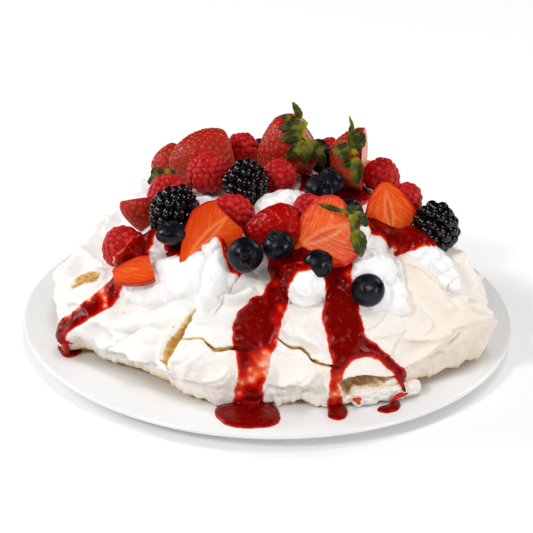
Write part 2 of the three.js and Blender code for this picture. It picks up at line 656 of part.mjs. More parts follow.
// A thin wavy leaf: a grid of points doubled into two faces that are split into triangles alike.
function sheetSolid(across, along, place, thickness) {
  const sheet = new THREE.PlaneGeometry(1, 1, across, along);
  const count = (across + 1) * (along + 1);
  const points = [];
  for (const side of [0.5, -0.5]) {
    for (let row = 0; row <= along; row++) {
      for (let column = 0; column <= across; column++) {
        const { point, out } = place(column / across, row / along);
        points.push(point.clone().addScaledVector(out, side * thickness));
      }
    }
  }
  const triangles = [...sheet.index.array];
  for (let i = 0; i < sheet.index.array.length; i += 3) {
    const [a, b, c] = sheet.index.array.slice(i, i + 3);
    triangles.push(a + count, c + count, b + count);
  }
  const at = (column, row) => row * (across + 1) + column;
  const rim = [];
  for (let row = 0; row < along; row++) rim.push([at(0, row), at(0, row + 1)]);
  for (let column = 0; column < across; column++) rim.push([at(column, along), at(column + 1, along)]);
  for (let row = along; row > 0; row--) rim.push([at(across, row), at(across, row - 1)]);
  for (let column = across; column > 0; column--) rim.push([at(column, 0), at(column - 1, 0)]);
  for (const [a, b] of rim) triangles.push(a, a + count, b, b, a + count, b + count);
  const geometry = new THREE.BufferGeometry().setFromPoints(points);
  geometry.setIndex(triangles);
  const solid = solidFrom(geometry);
  return solid.volume() < 0 ? solidFrom(turnedInsideOut(geometry)) : solid;
}

const HUB_RADIUS = 2.6;
const LEAF = { thickness: 1, arch: 0.14, rootShare: 0.35, tipShare: 0.16 };

// A leaf from the hub to its tip, arched outwards.
function leaf(hub, facing, { tip, halfWidth }) {
  const end = vec(tip);
  const middleToTip = end.clone().sub(hub);
  const root = hub.clone().addScaledVector(middleToTip, (0.6 * HUB_RADIUS) / middleToTip.length());
  const reach = end.sub(root);
  const side = reach.clone().cross(facing).normalize();
  const out = side.clone().cross(reach).normalize();
  return sheetSolid(1, 3, (u, v) => {
    const swell = LEAF.rootShare + (1 - LEAF.rootShare) * Math.sin(Math.PI * v ** 0.8);
    const half = halfWidth * (v < 1 ? swell : LEAF.tipShare);
    const edge = 2 * u - 1;
    const rise = LEAF.arch * reach.length() * Math.sin(Math.PI * v);
    const point = root.clone().addScaledVector(reach, v).addScaledVector(side, edge * half);
    return { point: point.addScaledVector(out, rise), out };
  }, LEAF.thickness);
}

function makeCalyx({ hub, facing, leaves }) {
  const middle = vec(hub);
  const out = heading(facing);
  let calyx = solidFrom(new THREE.IcosahedronGeometry(HUB_RADIUS, 0).translate(...hub));
  for (const each of leaves) calyx = calyx.add(leaf(middle, out, each));
  return calyx;
}

// ------------------------------------------------------------------ putting it together

const fruit = FRUIT.map((piece) => {
  const place = fruitPlace(piece);
  const { solid, room } = KINDS[piece.kind];
  return {
    ...piece,
    place,
    solid: solid(piece).transform(place.elements),
    room: room(piece).transform(place.elements),
  };
});

const fruitRoom = wasm.Manifold.union(fruit.map((piece) => piece.room));
const shellRoom = shellWithSauce(ROOM_GROWTH);
const pavlova = new THREE.Group();

function addMesh(name, solid, finish, place = new THREE.Matrix4()) {
  const local = solid.transform(place.clone().invert().elements);
  const mesh = new THREE.Mesh(geometryFrom(local), new THREE.MeshStandardMaterial(FINISH[finish]));
  mesh.name = name;
  mesh.applyMatrix4(place);
  pavlova.add(mesh);
}

addMesh('plate', makePlate(shellRoom), 'plate');
addMesh('meringue', makeShell(fruitRoom), 'meringue');
addMesh('cream', makeCream(shellRoom, fruitRoom), 'cream');

// Where two pieces of fruit press together, the later one gives way.
fruit.forEach((piece, i) => {
  let { solid } = piece;
  for (const earlier of fruit.slice(0, i)) {
    if (solid.minGap(earlier.room, 1) < 0.01) solid = solid.subtract(earlier.room);
  }
  addMesh(piece.name, largest(solid), piece.kind, piece.place);
});

for (const calyx of CALYXES) {
  addMesh(calyx.name, largest(makeCalyx(calyx).subtract(fruitRoom)), 'calyx');
}

export default pavlova;
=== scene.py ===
"""A pavlova on its plate: cracked meringue, whipped cream, a heap of soft fruit and thick berry sauce.

The tables give places in millimetres and degrees, +Z up and -Y to the front. A place on the dome of
the meringue is (azimuth, climb): azimuth from +X, climb 0 at the rim and 90 on top.
"""

import math

import bmesh
import bpy
import numpy as np
from bpy.props import FloatProperty, FloatVectorProperty, IntProperty, PointerProperty
from mathutils import Matrix, Vector, noise
from mathutils.bvhtree import BVHTree


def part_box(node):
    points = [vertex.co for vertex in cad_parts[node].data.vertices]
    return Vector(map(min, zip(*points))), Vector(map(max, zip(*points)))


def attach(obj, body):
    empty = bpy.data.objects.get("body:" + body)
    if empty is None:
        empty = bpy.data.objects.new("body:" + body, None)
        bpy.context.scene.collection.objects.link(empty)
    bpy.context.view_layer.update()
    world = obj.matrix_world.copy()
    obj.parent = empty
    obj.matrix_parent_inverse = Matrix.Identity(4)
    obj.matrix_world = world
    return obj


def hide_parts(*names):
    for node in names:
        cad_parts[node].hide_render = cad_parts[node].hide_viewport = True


bl_info = {
    "name": "Pavlova",
    "version": (1, 0, 0),
    "blender": (4, 5, 0),
    "location": "3D View > Sidebar > Pavlova",
    "description": "Builds a pavlova with cream, soft fruit and sauce on a plate",
    "category": "Add Mesh",
}

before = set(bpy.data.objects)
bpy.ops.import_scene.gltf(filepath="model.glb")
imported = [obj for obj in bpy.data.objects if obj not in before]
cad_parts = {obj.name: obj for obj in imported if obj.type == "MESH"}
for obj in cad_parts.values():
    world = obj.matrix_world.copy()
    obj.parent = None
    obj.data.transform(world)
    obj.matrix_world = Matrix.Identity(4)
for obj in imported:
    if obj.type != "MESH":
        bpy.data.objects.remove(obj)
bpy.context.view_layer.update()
PLATE_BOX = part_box("plate")
MM = 0.001
GOLDEN_TURN = math.pi * (3 - math.sqrt(5))

# ------------------------------------------------------------------ the dome of the meringue

DOME_CENTRE = (4.0, 0.0)
DOME_TOP = 66.0
DOME_FULLNESS = 2.3
PLATE_TOP = 9.0
# every 22.5 degrees from +X, counter-clockwise
RIM_RADIUS = [104, 103, 103, 104, 104, 104, 104, 106, 109, 113, 102, 106, 101, 107, 106, 113]
RIM_LIFT = [9, 6, 4, 4, 4, 4, 4, 5, 8, 9, 3, 2, 2, 2, 7, 12]

# Wide swells of the shell, or valleys where the height is negative: path, half width, height.
SWELLS = [
    ([(207, 3), (218, 13), (230, 21), (240, 31)], 11, 4),
    ([(209, 1), (221, 7), (234, 9)], 9, 3),
    ([(238, 33), (236, 24), (234, 14)], 11, 2.5),
    ([(247, 17), (252, 20), (257, 12)], 14, 4),
    ([(257, 52), (261, 48)], 10, 4),
    ([(272, 12), (282, 16)], 10, 3),
    ([(304, 26), (309, 18), (317, 12), (324, 14)], 9, 3),
    ([(325, 49), (322, 40), (322, 29), (326, 16), (330, 6)], 10, 5),
    ([(345, 40), (350, 20)], 14, 3),
    ([(350, 2), (358, 20)], 32, -7),
    ([(22, 14), (28, 38)], 26, -6),
    ([(38, 35), (42, 10)], 14, 3),
    ([(50, 42), (55, 8)], 10, -4),
    ([(75, 38), (80, 10)], 18, 5),
    ([(104, 40), (102, 8)], 10, -4),
    ([(125, 36), (130, 12)], 17, 5),
    ([(158, 40), (165, 8)], 10, -3),
    ([(183, 30), (190, 14)], 15, 2),
    ([(150, 50), (168, 46), (182, 42), (196, 46)], 24, -9),
    ([(186, 26), (196, 30)], 14, -3),
]

# Folds with one steep side, which lies to the right of the path seen from outside: path, height, width
# of the gentle side and width of the steep side.
FOLDS = [
    ([(214, 10), (218, 14.5), (222, 13.7), (225.5, 12.5), (227, 10.5)], 2.2, 8, 2),
    ([(217, 6.5), (220, 6), (223, 6), (226, 7.5), (228.5, 8.5), (230.7, 9.5), (232, 8.3),
     (237, 8.5)], 3.2, 6, 1.6),
    ([(219, 15.5), (222.5, 14.5), (226, 16), (229, 18.5), (234, 22), (239, 25), (241.3, 28)], -1.8, 2.5, 6),
    ([(206, 0), (211, 3), (214, 10), (218, 18)], 2.5, 10, 5),
    ([(178, 22), (185, 28), (192, 33), (199, 36), (203, 40)], 3.0, 9, 2.5),
    ([(186, 44), (190, 40), (197, 39)], 2.5, 8, 2.5),
    ([(178, 10), (190, 13), (201, 18)], 2.0, 12, 3),
    ([(245, 7), (250, 8), (255, 8), (258, 11), (258, 17)], 2.2, 12, 2.5),
    ([(246, 14), (251, 15), (255, 18)], 1.4, 8, 3),
    ([(251, 10.2), (253, 9.2), (255, 10), (256.6, 11.5), (257.6, 14), (257.8, 17)], 2.2, 7, 1.6),
    ([(274, 38), (273, 34), (272, 30), (273.8, 27.8), (276.5, 27.2), (279.3, 25.8),
     (282.8, 22)], 2.6, 9, 2),
    ([(267.3, 8), (269, 6.8), (271.3, 7.8), (273.8, 8.8), (276.3, 9), (278.3, 10.5),
     (280.3, 11.8)], 1.8, 5, 1.6),
    ([(275.3, 8.5), (277.5, 9.5), (279.3, 11.8), (280, 14), (279.3, 16.8)], 2.4, 8, 1.8),
    ([(250, 44), (254, 42.5), (259, 43), (264, 45)], 4.5, 9, 2),
    ([(269, 8), (273, 9), (277, 12), (280, 16)], 2.4, 13, 2.5),
    ([(270, 3), (274, 6), (278, 8), (282, 9)], 2.2, 5, 2),
    ([(271, 34), (277, 30), (281, 25), (284, 22)], 1.5, 11, 3),
    ([(320.5, 46), (320, 40.7), (320.3, 34.5), (320.7, 28.5), (321.6, 22.5), (323, 18.5)], 3.2, 3, 9),
    ([(323, 18.5), (325, 16), (328, 15.5), (330.5, 11), (333, 4)], 3.0, 4, 6),
    ([(302.3, 24.5), (303.3, 21.8), (306, 18.5), (310, 16.3), (315.3, 14.8), (319, 14.5),
     (322, 16)], 2.6, 15, 1.8),
    ([(303, 7), (305, 9), (308, 10.5), (311, 11.8), (313.5, 12.8), (317, 14.3)], 2.2, 6, 3),
    ([(323, 18), (330, 12), (334, 8), (338, 2)], 4.0, 7, 4),
    ([(305, 5), (311, 8), (315, 12), (321, 12)], 2.0, 8, 2),
    ([(311, 3), (317, 8), (322, 8), (328, 8)], 2.0, 7, 2),
    ([(316, 33), (313, 27), (310, 22)], 1.4, 10, 2.5),
    ([(334, 22), (340, 30), (344, 40)], 2.2, 10, 3),
    ([(342, 6), (349, 12), (357, 14)], 2.4, 9, 2.5),
]

# Folds that a seeded draw spreads over the back, and short ones over the front. The places are in degrees:
# the first azimuth, the azimuths covered, how far a fold may stray as a share of their spacing, the limits
# of its climb, length, rise and bend, and its highest climb. Then come its limits of height and of both
# widths, in mm.
SPARE_FOLDS = {
    "seed": 11, "start": -12, "span": 206, "stray": 0.4, "climb": (3, 40), "reach": (14, 34),
    "rise": (-16, 22), "bend": (-7, 7), "top": 50, "heights": (1.4, 3.2), "gentle": (7, 15),
    "steep": (1.8, 3.2),
}
SHORT_FOLDS = {
    "seed": 29, "start": 202, "span": 140, "stray": 0.5, "climb": (3, 36), "reach": (5, 12),
    "rise": (-9, 12), "bend": (-4, 4), "top": 48, "heights": (0.6, 1.3), "gentle": (3, 6),
    "steep": (0.8, 1.5),
}
FOLD_HEIGHT = 1.3  # all folds stand this many times as high as their tables say

# Cracks: path, half width, depth.
CRACKS = [
    ([(245.2, 23.2), (247, 24.2), (248.8, 25.2), (250.5, 25), (252, 23.2)], 0.45, 2),
    ([(251.5, 24), (253.2, 22.2), (254, 21.5), (255.8, 22), (257.8, 22.8), (263, 22.5)], 0.85, 5),
    ([(270, 27.8), (272.7, 24.8), (274.2, 23.5), (276.5, 23.7), (278.5, 21.2), (280.2, 18),
     (287, 15.5)], 0.62, 5),
    ([(239.8, 12), (241.5, 11.5), (243, 9.8)], 0.5, 3),
]

# Wide open cracks: closed outline, depth.
OPEN_CRACKS = [
    ([(245, 36.8), (245.3, 34), (245.3, 31.2), (244.7, 27.8), (244.9, 24), (244.4, 21.2), (243.9, 18.5),
     (243.1, 15.5), (241.9, 12.6), (240.7, 12.8), (240.5, 16), (240.7, 19.5), (241.5, 22.8), (242.9, 25.8),
     (243.6, 29.2), (244.2, 32.2), (244.7, 35.2)], 7),
    ([(207, 33.5), (208, 31.5), (207.5, 28.5), (205.8, 26.5), (205.2, 23.8), (204.2, 19.8), (203.7, 23),
      (203.4, 25.5), (203.4, 28.2), (204, 30.8), (205.5, 32.8)], 6),
]

# Seams where two layers meet: path, depth.
SEAMS = [
    ([(242, 51), (243, 45), (243.5, 38)], 2.0),
    ([(256.5, 55), (255.5, 52.2), (253.5, 48.8), (253.2, 45.5), (252.5, 43), (251.5, 40), (251, 36.5),
     (251, 34)], 1.8),
    ([(229.2, 28.5), (231, 30.2), (232.8, 32.8)], 1.0),
    ([(320, 49), (321, 47.2), (321.5, 45), (322.5, 40.2), (323.3, 35)], 1.6),
    ([(323, 34), (325, 30.8), (325, 27)], 1.2),
    ([(311.5, 46.8), (313.5, 45.5), (316, 45)], 3.0),
    ([(311, 43.8), (312.7, 39.5), (312.7, 37)], 0.8),
    ([(309, 34.5), (309.8, 32.2), (311, 28.8)], 0.8),
    ([(304.8, 20.2), (306.8, 18), (308.8, 16.8), (311.8, 15.2)], 0.9),
    ([(317, 10), (319.8, 10.8), (321.5, 11.8), (323.2, 13)], 0.9),
    ([(311.5, 6), (313.2, 7.5), (315, 8), (317.2, 7.2)], 0.7),
]

# The front is broken open: the outline of the opening and how deep it goes.
BREAK_OUTLINE = [
    (285.6, 8.5), (287.2, 10.3), (289, 11.2), (292, 11.5), (294.5, 10.2), (297.2, 8), (299, 6.2),
    (300.8, 3.8), (300.5, 1.5), (297, 0.5), (292, 0.5), (288, 1.5), (286.4, 5),
]
BREAK_DEPTH = 15.0

# A shard of shell lies on the plate in front of the opening: its ends, and its half width and height there.
SHARD_ENDS = ((38, -97.6, 13.2), (71, -86.4, 13.6))
SHARD_HALF_SIZES = ((4.6, 4.0), (3.4, 2.2))

# How far the torn lower edge of the shell stands above the dome's rim, at azimuths.
EDGE_LIFT = [
    (180, 0), (205, 0), (209, -2), (213, 4), (217, 0.5), (221, 2), (228, 5), (234, 9), (237, 10),
    (241, 9.5), (244, 6), (247, 4), (250.5, 4), (253, 1), (255, -2), (258, -2), (262, 0), (266, 1.5),
    (271.5, -0.5), (276.5, 4), (281, 0), (284, -1), (288, 2), (300, 6), (304, 6), (307, 5), (310, 2),
    (314, -1), (320, -1), (323, -5), (326, -3), (330, -7), (334, -6), (340, -7), (347, -8), (356, -4),
    (366, 0),
]

# ------------------------------------------------------------------ cream

# The lower edge of the cream all round, as places on the dome.
CREAM_EDGE = [
    (0, 43), (15, 39), (30, 44), (45, 38), (60, 43), (75, 37), (90, 42), (105, 36), (120, 42), (135, 38),
    (150, 42), (165, 38), (180, 43), (190, 48), (198, 50), (205, 50), (209, 42), (213, 33), (218, 29),
    (222, 29), (227, 28), (231, 32), (235, 35), (240, 40), (242.6, 45), (244.2, 40), (245.8, 35),
    (247.4, 32), (249.2, 36), (251.2, 43), (252.4, 49), (257, 55), (263, 57), (270, 55), (275, 50),
    (288, 50), (292, 47), (296, 39), (300, 36), (304, 34.5), (306, 31), (309, 29.5), (311.5, 29),
    (311.8, 34), (314.5, 36.5), (315.6, 41), (314.5, 47), (322, 56), (330, 58), (336, 56), (345, 50),
    (352, 46),
]

# Dollops: place, height of the middle over the dome, half sizes across, up the slope and out.
DOLLOPS = [
    ((280, 48), 3, (10.5, 9.5, 11)),
    ((280, 80), 7, (15, 11, 8)),
    ((209, 72), 4, (11, 9, 7)),
    ((331, 54), 0, (10.5, 8, 8)),
    ((330.6, 49.5), 0, (10.5, 8, 8.5)),
    ((330.2, 45), 0, (10, 7.5, 8.5)),
    ((329.8, 40.5), -0.5, (9, 7, 8)),
    ((329.4, 36), -1, (8, 6, 7.5)),
    ((329, 32), -1.5, (5.5, 5, 6.5)),
    ((236, 62), 6, (8, 9, 9)),
    ((243, 57), 5, (6, 9, 8)),
    ((305, 50), 3, (13, 12, 8)),
    ((312, 66), 5, (12, 9, 8)),
    ((216, 52), 3, (10, 8, 8)),
    ((95, 50), 0.5, (14, 12, 8)),
    ((150, 46), 3, (13, 11, 8)),
    ((40, 50), 4, (13, 12, 8)),
]

# Ridges of cream: path, half width, height.
CREAM_RIDGES = [
    ([(239, 62), (243.5, 59), (246.4, 55.5), (247.6, 50.2), (247.8, 45.5), (247.4, 40),
     (247.3, 34)], 5.5, 5),
    ([(222, 43.5), (227.7, 46), (233, 48.5), (238.5, 51.5), (243.5, 54.2)], 5, 3),
    ([(301, 38), (304, 43), (309, 46), (313, 44)], 5, 2.5),
]

# ------------------------------------------------------------------ sauce

# Outlines of the sauce on the shell and the cream, as places on the dome.
SAUCE_OUTLINES = [
    [(207, 57), (211, 51), (213.4, 46.5), (213.8, 41.7), (212.2, 37), (211.6, 31.8), (211.2, 27),
     (210.5, 22), (209.5, 17), (208, 11.7), (206, 6), (204.8, 0), (204.5, -2), (210.5, -2), (210.8, 3),
     (212.2, 7.7), (214.5, 12.7), (216, 16.2), (217.2, 21), (218, 26), (218.6, 34), (217.8, 39),
     (217.3, 44), (218.6, 48), (217, 52), (213, 56)],
    [(264.5, 62), (266.5, 55), (266.2, 49.8), (264.7, 45), (260.9, 42.5), (257.7, 38.5), (257.3, 32),
     (258.3, 24), (259.6, 18), (260.3, 10), (259.6, 3), (260, -2), (266.7, -2), (267, 7), (268.5, 13.7),
     (268.6, 20), (270.2, 24.4), (271.2, 31), (272.2, 38), (273.5, 41.5), (275, 44.6), (277.9, 46.8),
     (281.3, 48), (284.2, 47.4), (286, 46), (285.6, 43), (284, 39.5), (283.7, 36), (283.8, 29.4),
     (283.9, 22.3), (284.3, 17), (283.4, 11.6), (283.1, 4), (283.5, -2), (286.9, -2), (286.4, 4),
     (286.7, 8), (287.5, 14), (289.5, 17.7), (292.8, 18.8), (296.5, 15.5), (299.3, 10), (300.8, 5),
     (302.2, 2.4), (304.4, 3.4), (303.8, 7.5), (301.5, 13), (297.8, 21.4), (294.8, 27), (295, 34),
     (295.8, 41.4), (296, 48), (299, 55), (297, 62), (288, 66), (274, 66)],
    [(219, 54), (224, 58.5), (231, 56), (232, 50.5), (227, 49.2), (222.4, 50.2)],
    [(243.5, 61), (246, 57.7), (248.6, 54.8), (252.3, 51.6), (256.5, 52.4), (257, 56), (256, 61),
     (247, 66)],
    [(305, 64), (311, 62.5), (319, 62.5), (323, 60.5), (324.5, 57), (322.4, 54), (321.6, 51.8),
     (323.6, 50.8), (325.4, 48.2), (331.6, 46.8), (337, 45.5), (342, 42.5), (346, 41), (349, 43), (349, 48),
     (348, 53), (346.2, 60), (346.5, 62.4), (345, 66), (338.3, 69), (332, 71), (322, 73)],
    [(40, 70), (37, 66), (25, 66), (5, 67), (350, 70), (339, 74.4), (350, 79), (20, 78)],
]
# Small spills where the dome is flat: (azimuth, climb, half width) along each.
SPILLS = [
    [(70, 66, 3), (66, 73, 5), (45, 80, 5), (20, 84, 4)],
]

# Places where the sauce is only a thin film: place, radius, share taken away.
THIN_SPOTS = [
    ((212.5, 36), 4, 0.7), ((212, 27.5), 3.4, 0.97), ((214.2, 25.2), 3.6, 0.97), ((216, 22), 2.4, 0.9),
    ((211, 21), 2.4, 0.92), ((209.6, 15.5), 2.3, 0.88), ((207.8, 9.5), 2.4, 0.82), ((216, 31), 2.4, 0.8),
    ((267, 21), 4, 0.85), ((266, 16.5), 4.5, 0.97), ((267.5, 12.5), 3.5, 0.95), ((263.8, 19.5), 2.5, 0.7),
    ((264, 10), 4, 0.97), ((263.2, 14), 2.8, 0.9), ((261.3, 8.5), 3.4, 0.92), ((261, 4), 2.8, 0.88),
    ((268, 17), 3.4, 0.95), ((270, 26), 3, 0.8), ((269.5, 35), 3, 0.6), ((265, 12), 2.5, 0.8),
    ((271, 40), 3, 0.7), ((286, 8), 3, 0.9), ((284.6, 4.5), 3.5, 0.9), ((285.6, 12), 3, 0.7),
    ((284.6, 1.5), 3, 0.6), ((275.5, 53.5), 3.5, 0.85), ((279, 52), 3, 0.8), ((269.5, 50), 3, 0.75),
    ((284, 52), 4, 0.6), ((272, 58), 5, 0.6), ((295.5, 50), 3, 0.8), ((297, 57), 5, 0.7),
    ((321.8, 55.5), 4, 0.85), ((244, 60), 3, 0.5), ((30, 74), 6, 0.4), ((60, 76), 5, 0.75),
]

# Pools on the plate, as closed outlines.
POOLS = [
    [(-101.8, -50.3), (-100.5, -46), (-95.1, -46.5), (-90.5, -47.5), (-89.2, -52.5), (-90.9, -56.8),
     (-94.3, -59.9), (-98.2, -58.1)],
    [(-22.6, -109), (-22, -102.5), (-17, -99), (-8, -97), (0, -98), (4, -101), (6, -106), (6.2, -112.5),
     (3.6, -117.4), (-3.4, -119.4), (-11.3, -119.6), (-18.5, -116.6)],
    [(27.6, -103), (28.5, -98.5), (33.5, -96.5), (36, -100.6), (36.6, -105.7), (34.5, -110.3),
     (31.2, -111.3), (27.9, -108.8)],
    [(50.2, -101.9), (54, -99.5), (57.1, -96.6), (60.4, -94.3), (60.8, -98.7), (58.8, -102.4),
     (54.8, -104.4), (51.5, -103.6)],
]
POOL_HEIGHT = 1.9

# Falls from the rim to the plate: top, bottom, half width.
FALLS = [
    ((-97.4, -60.2, 19.5), (-96, -56.8, 9.3), 4.8),
    ((-7.5, -99.5, 17), (-7.7, -102.5, 9.5), 6.6),
    ((31.8, -97.5, 16), (32, -101, 9.5), 3.6),
    ((61.2, -93.2, 19), (62.6, -94.5, 14.5), 0.7),
]
# Smears of sauce on the shard: middle, half length, half width, turn in degrees.
SMEARS = [
    ((41, -102.2, 14), 2.0, 1.6, -40),
    ((60, -96.8, 13.5), 4.2, 1.2, 30),
]

# ------------------------------------------------------------------ fruit

# The middle, the heading of the tip or crown (azimuth, pitch), the length and the width.
DARK_BERRIES = {
    "dark_berry_1": ((-45, -34, 75), (50, 75), 25.5, 23.5),
    "dark_berry_2": ((-12, -12, 82), (355, 75), 22.5, 21),
    "dark_berry_3": ((80, -26, 66.5), (320, -25), 25, 21.5),
    "dark_berry_4": ((13, 57, 71), (30, 30), 23, 20),
}
RASPBERRIES = {
    "raspberry_1": ((-31, 3, 81), (110, 75), 20, 20.5),
    "raspberry_2": ((4, 0, 81), (155, 80), 17, 17),
    "raspberry_3": ((-18, -35, 75), (200, 35), 22, 18),
    "raspberry_4": ((-50, -11, 75), (210, 80), 19, 20),
    "raspberry_5": ((-69, -43, 60), (170, 70), 21, 20),
    "raspberry_6": ((-16, 41, 79), (225, 30), 18, 18),
    "raspberry_7": ((56, 14, 77), (50, 60), 18, 18),
    "raspberry_8": ((66, -11, 73.5), (55, 35), 20, 16),
    "raspberry_9": ((19, -36, 77), (145, 50), 18, 17),
    "raspberry_10": ((31, 46, 76), (95, 65), 17, 17),
    "raspberry_11": ((-52, 54, 65), (120, 50), 19, 18),
    "raspberry_12": ((-33, 50, 73), (60, 65), 18, 18),
}
BLUEBERRIES = {
    "blueberry_1": ((-45, -53, 72), (110, 75), 10.5, 16),
    "blueberry_2": ((-11, -69, 69.5), (280, 10), 15, 16.5),
    "blueberry_3": ((4, -61, 71), (200, 70), 12.5, 15.5),
    "blueberry_4": ((22, -72, 67), (340, 40), 13, 14),
    "blueberry_5": ((45, -75, 56), (270, 35), 14.5, 15.5),
    "blueberry_6": ((23, -22, 83), (345, 65), 13, 14.5),
    "blueberry_7": ((29, -4, 80), (100, 85), 12.5, 15),
    "blueberry_8": ((-5, 52, 74), (95, 75), 13, 15),
    "blueberry_9": ((27, 28, 79), (95, 75), 14, 15),
    "blueberry_10": ((38, -32, 75.5), (95, 75), 12, 13),
    "blueberry_11": ((-20, 66, 67), (60, 60), 14, 15.5),
}
SCARRED_BLUEBERRY = "blueberry_5"  # this one shows its stalk end, with a scar and no crown

# The middle, the heading of the tip, the heading that a cut face looks in, the length and the width.
WHOLE_STRAWBERRIES = {
    "strawberry_whole_1": ((-36, 26, 80.5), (195, -11), (275, 30), 34, 25),
    "strawberry_whole_2": ((7, 22, 87), (185, -35), (260, 20), 32, 28),
}
# The same, with the depth behind the cut at the end.
CUT_STRAWBERRIES = {
    "strawberry_half_1": ((47, 15, 86), (80, -10), (0, 0), 31, 28, 15),
    "strawberry_half_2": ((24, -58, 75), (175, -30), (250, 30), 33, 30, 13),
    "strawberry_slice_1": ((-29.5, -57.5, 72.2), (207, -40), (280, 30), 33, 22, 9),
    "strawberry_wedge_1": ((-62.5, -64, 57.5), (192, -12), (264, 58), 26, 13, 7.5),
    "strawberry_wedge_2": ((-62, -21, 69), (288, -62), (33, -10), 20, 20, 10),
    "strawberry_half_3": ((57, -25, 75), (125, 70), (270, 15), 27, 22, 11),
    "strawberry_half_4": ((1, -46.5, 71.5), (185, 0), (90, -65), 27, 22, 13),
    "strawberry_half_5": ((-53, 39, 73), (20, 75), (70, 15), 20, 16, 9),
    "strawberry_half_6": ((52, 40, 72), (60, -10), (270, 75), 26, 20, 10),
    "strawberry_half_7": ((-2, 80, 64), (150, -10), (90, 60), 28, 20, 10),
}
# How much a strawberry narrows to its tip, and the ones that do so more or less than most.
TAPER = 0.38
OTHER_TAPERS = {"strawberry_slice_1": 0.6, "strawberry_whole_1": 0.2, "strawberry_wedge_1": 0.35}
# How red the flesh is, from 0 to 1, the piece cut beside the core, and the chunk that is glazed all over.
USUAL_RIPENESS = 0.1
RIPENESS = {"strawberry_slice_1": 1.0, "strawberry_wedge_1": 0.8, "strawberry_half_1": 0.6}
CORELESS = "strawberry_wedge_1"
GLAZED_CHUNK = "strawberry_half_4"
# Cuts as planes in the berry's own frame: the way each one faces and its distance from the middle, as a
# share of the length. The flesh before the plane is gone.
HALVED = [((0, 1, 0), 0)]
OTHER_CUTS = {
    "strawberry_wedge_1": HALVED + [((0, 0, 1), 0.36), ((0, 0, -1), 0.34)],
    "strawberry_wedge_2": HALVED + [((0.996, 0.087, 0), 0), ((0, 0, -1), 0.3)],
}

# Leafy caps: the way the leaves face, the round middle or None, and each leaf's root, tip and half width.
CALYXES = {
    "calyx_1": ((280, 25), None, [
        ((14.4, 17, 105.1), (10.2, 18, 113.6), 1.9), ((13.9, 14, 105.1), (3.2, 17, 106.5), 1.7),
        ((13.9, 12, 104.3), (3, 10, 102.4), 2.1), ((15.3, 10, 105), (7.7, 8, 103.4), 2.6),
        ((16, 11, 100.5), (4.1, 6, 97.8), 2.9), ((16, 8, 97.3), (7.6, 5, 88), 3.0),
        ((18, 8, 96.9), (16.1, 4, 86.4), 3.2), ((19.6, 9, 97.1), (26.8, 7.5, 82.7), 2.6),
        ((21.4, 20, 92.6), (28.3, 23, 87.8), 2.4)]),
    "calyx_2": ((270, 10), (40.4, -3, 95.7), [
        ((37.8, -2, 100.4), (43.4, -1, 106.9), 3.0), ((39.9, -1, 106.9), (37.3, 0, 113.2), 0.7),
        ((38.4, -2, 97.3), (30.1, -4, 95.6), 4.0), ((40.5, -4, 91.9), (34.2, -6, 89.1), 2.3),
        ((41.4, -4, 93.5), (42.2, -7, 78.9), 3.2), ((38.5, -2, 95.8), (45.5, 0, 104.3), 3.4),
        ((39, -1.5, 99), (38.6, -0.5, 108.5), 2.0)]),
    "calyx_3": ((280, 15), (37.2, -60, 85), [
        ((34.8, -60, 87.9), (21.1, -58, 90.9), 1.2), ((36.4, -58, 85.6), (37.2, -56, 90.5), 2.6),
        ((39.3, -60, 88), (44.1, -62, 82), 2.2), ((39.9, -61, 84), (36.9, -62, 79.4), 1.5),
        ((38.6, -63, 80.9), (42.1, -68, 69.2), 3.6), ((37.6, -60.5, 86), (39.5, -63, 76), 2.2)]),
    "calyx_4": ((260, 40), None, [
        ((-52.1, 14, 76.4), (-62.3, 13, 70.6), 3.5), ((-56.3, 15, 74.3), (-60.4, 16, 76.5), 3),
        ((-53.8, 16, 75.6), (-46.9, 12, 74.1), 2.5), ((-45.5, 6, 75.4), (-39.3, 2, 71.8), 2.2)]),
}
# The stalk of the berry on top curls up out of its leaves.
STALKED_CALYX = "calyx_1"
STALK = [(18.6, 9, 95.5), (16, 9.5, 98.4), (15.2, 11, 101.5), (16.9, 14, 104.1), (14.9, 16, 106)]
STALK_RADIUS = 1.3
LEAF_THICKNESS = 0.4
KNOB_HALF_SIZES = (1.9, 1.9, 1.2)

# ------------------------------------------------------------------ sizes and colours to change


def length(name, description, default, low=0.0):
    """A size in metres."""
    return FloatProperty(name=name, description=description, default=default, min=low, unit="LENGTH")


def tint(name, description, default):
    """A colour."""
    return FloatVectorProperty(
        name=name, description=description, default=default, size=3, min=0, max=1, subtype="COLOR"
    )


class PavlovaPlate(bpy.types.PropertyGroup):
    """The plate."""

    radius: length("Radius", "Half the plate's width", (PLATE_BOX[1][0] - PLATE_BOX[0][0]) / 2)
    foot: length("Foot", "Radius of the flat foot", 0.088)
    glaze: tint("Glaze", "Colour of the glaze", (0.79, 0.79, 0.787))


class PavlovaShell(bpy.types.PropertyGroup):
    """The meringue shell."""

    columns: IntProperty(name="Columns", description="Columns of the shell's mesh", default=620, min=60)
    spare_folds: IntProperty(name="Spare folds", description="Folds at the back", default=46, min=0)
    short_folds: IntProperty(name="Short folds", description="Short folds at the front", default=36, min=0)
    pale: tint("Pale", "Colour of the pale meringue", (0.83, 0.81, 0.785))
    warm: tint("Warm", "Colour of the warmer meringue", (0.84, 0.735, 0.62))
    gold: tint("Gold", "Colour inside the cracks", (0.70, 0.40, 0.10))


class PavlovaCream(bpy.types.PropertyGroup):
    """The whipped cream."""

    columns: IntProperty(name="Columns", description="Columns of the cream's mesh", default=560, min=60)
    thickness: length("Thickness", "Thickness of the layer", 0.007)
    white: tint("White", "Colour of the cream", (0.90, 0.897, 0.888))
    stain: tint("Stain", "Colour of cream that sauce has touched", (0.87, 0.60, 0.56))


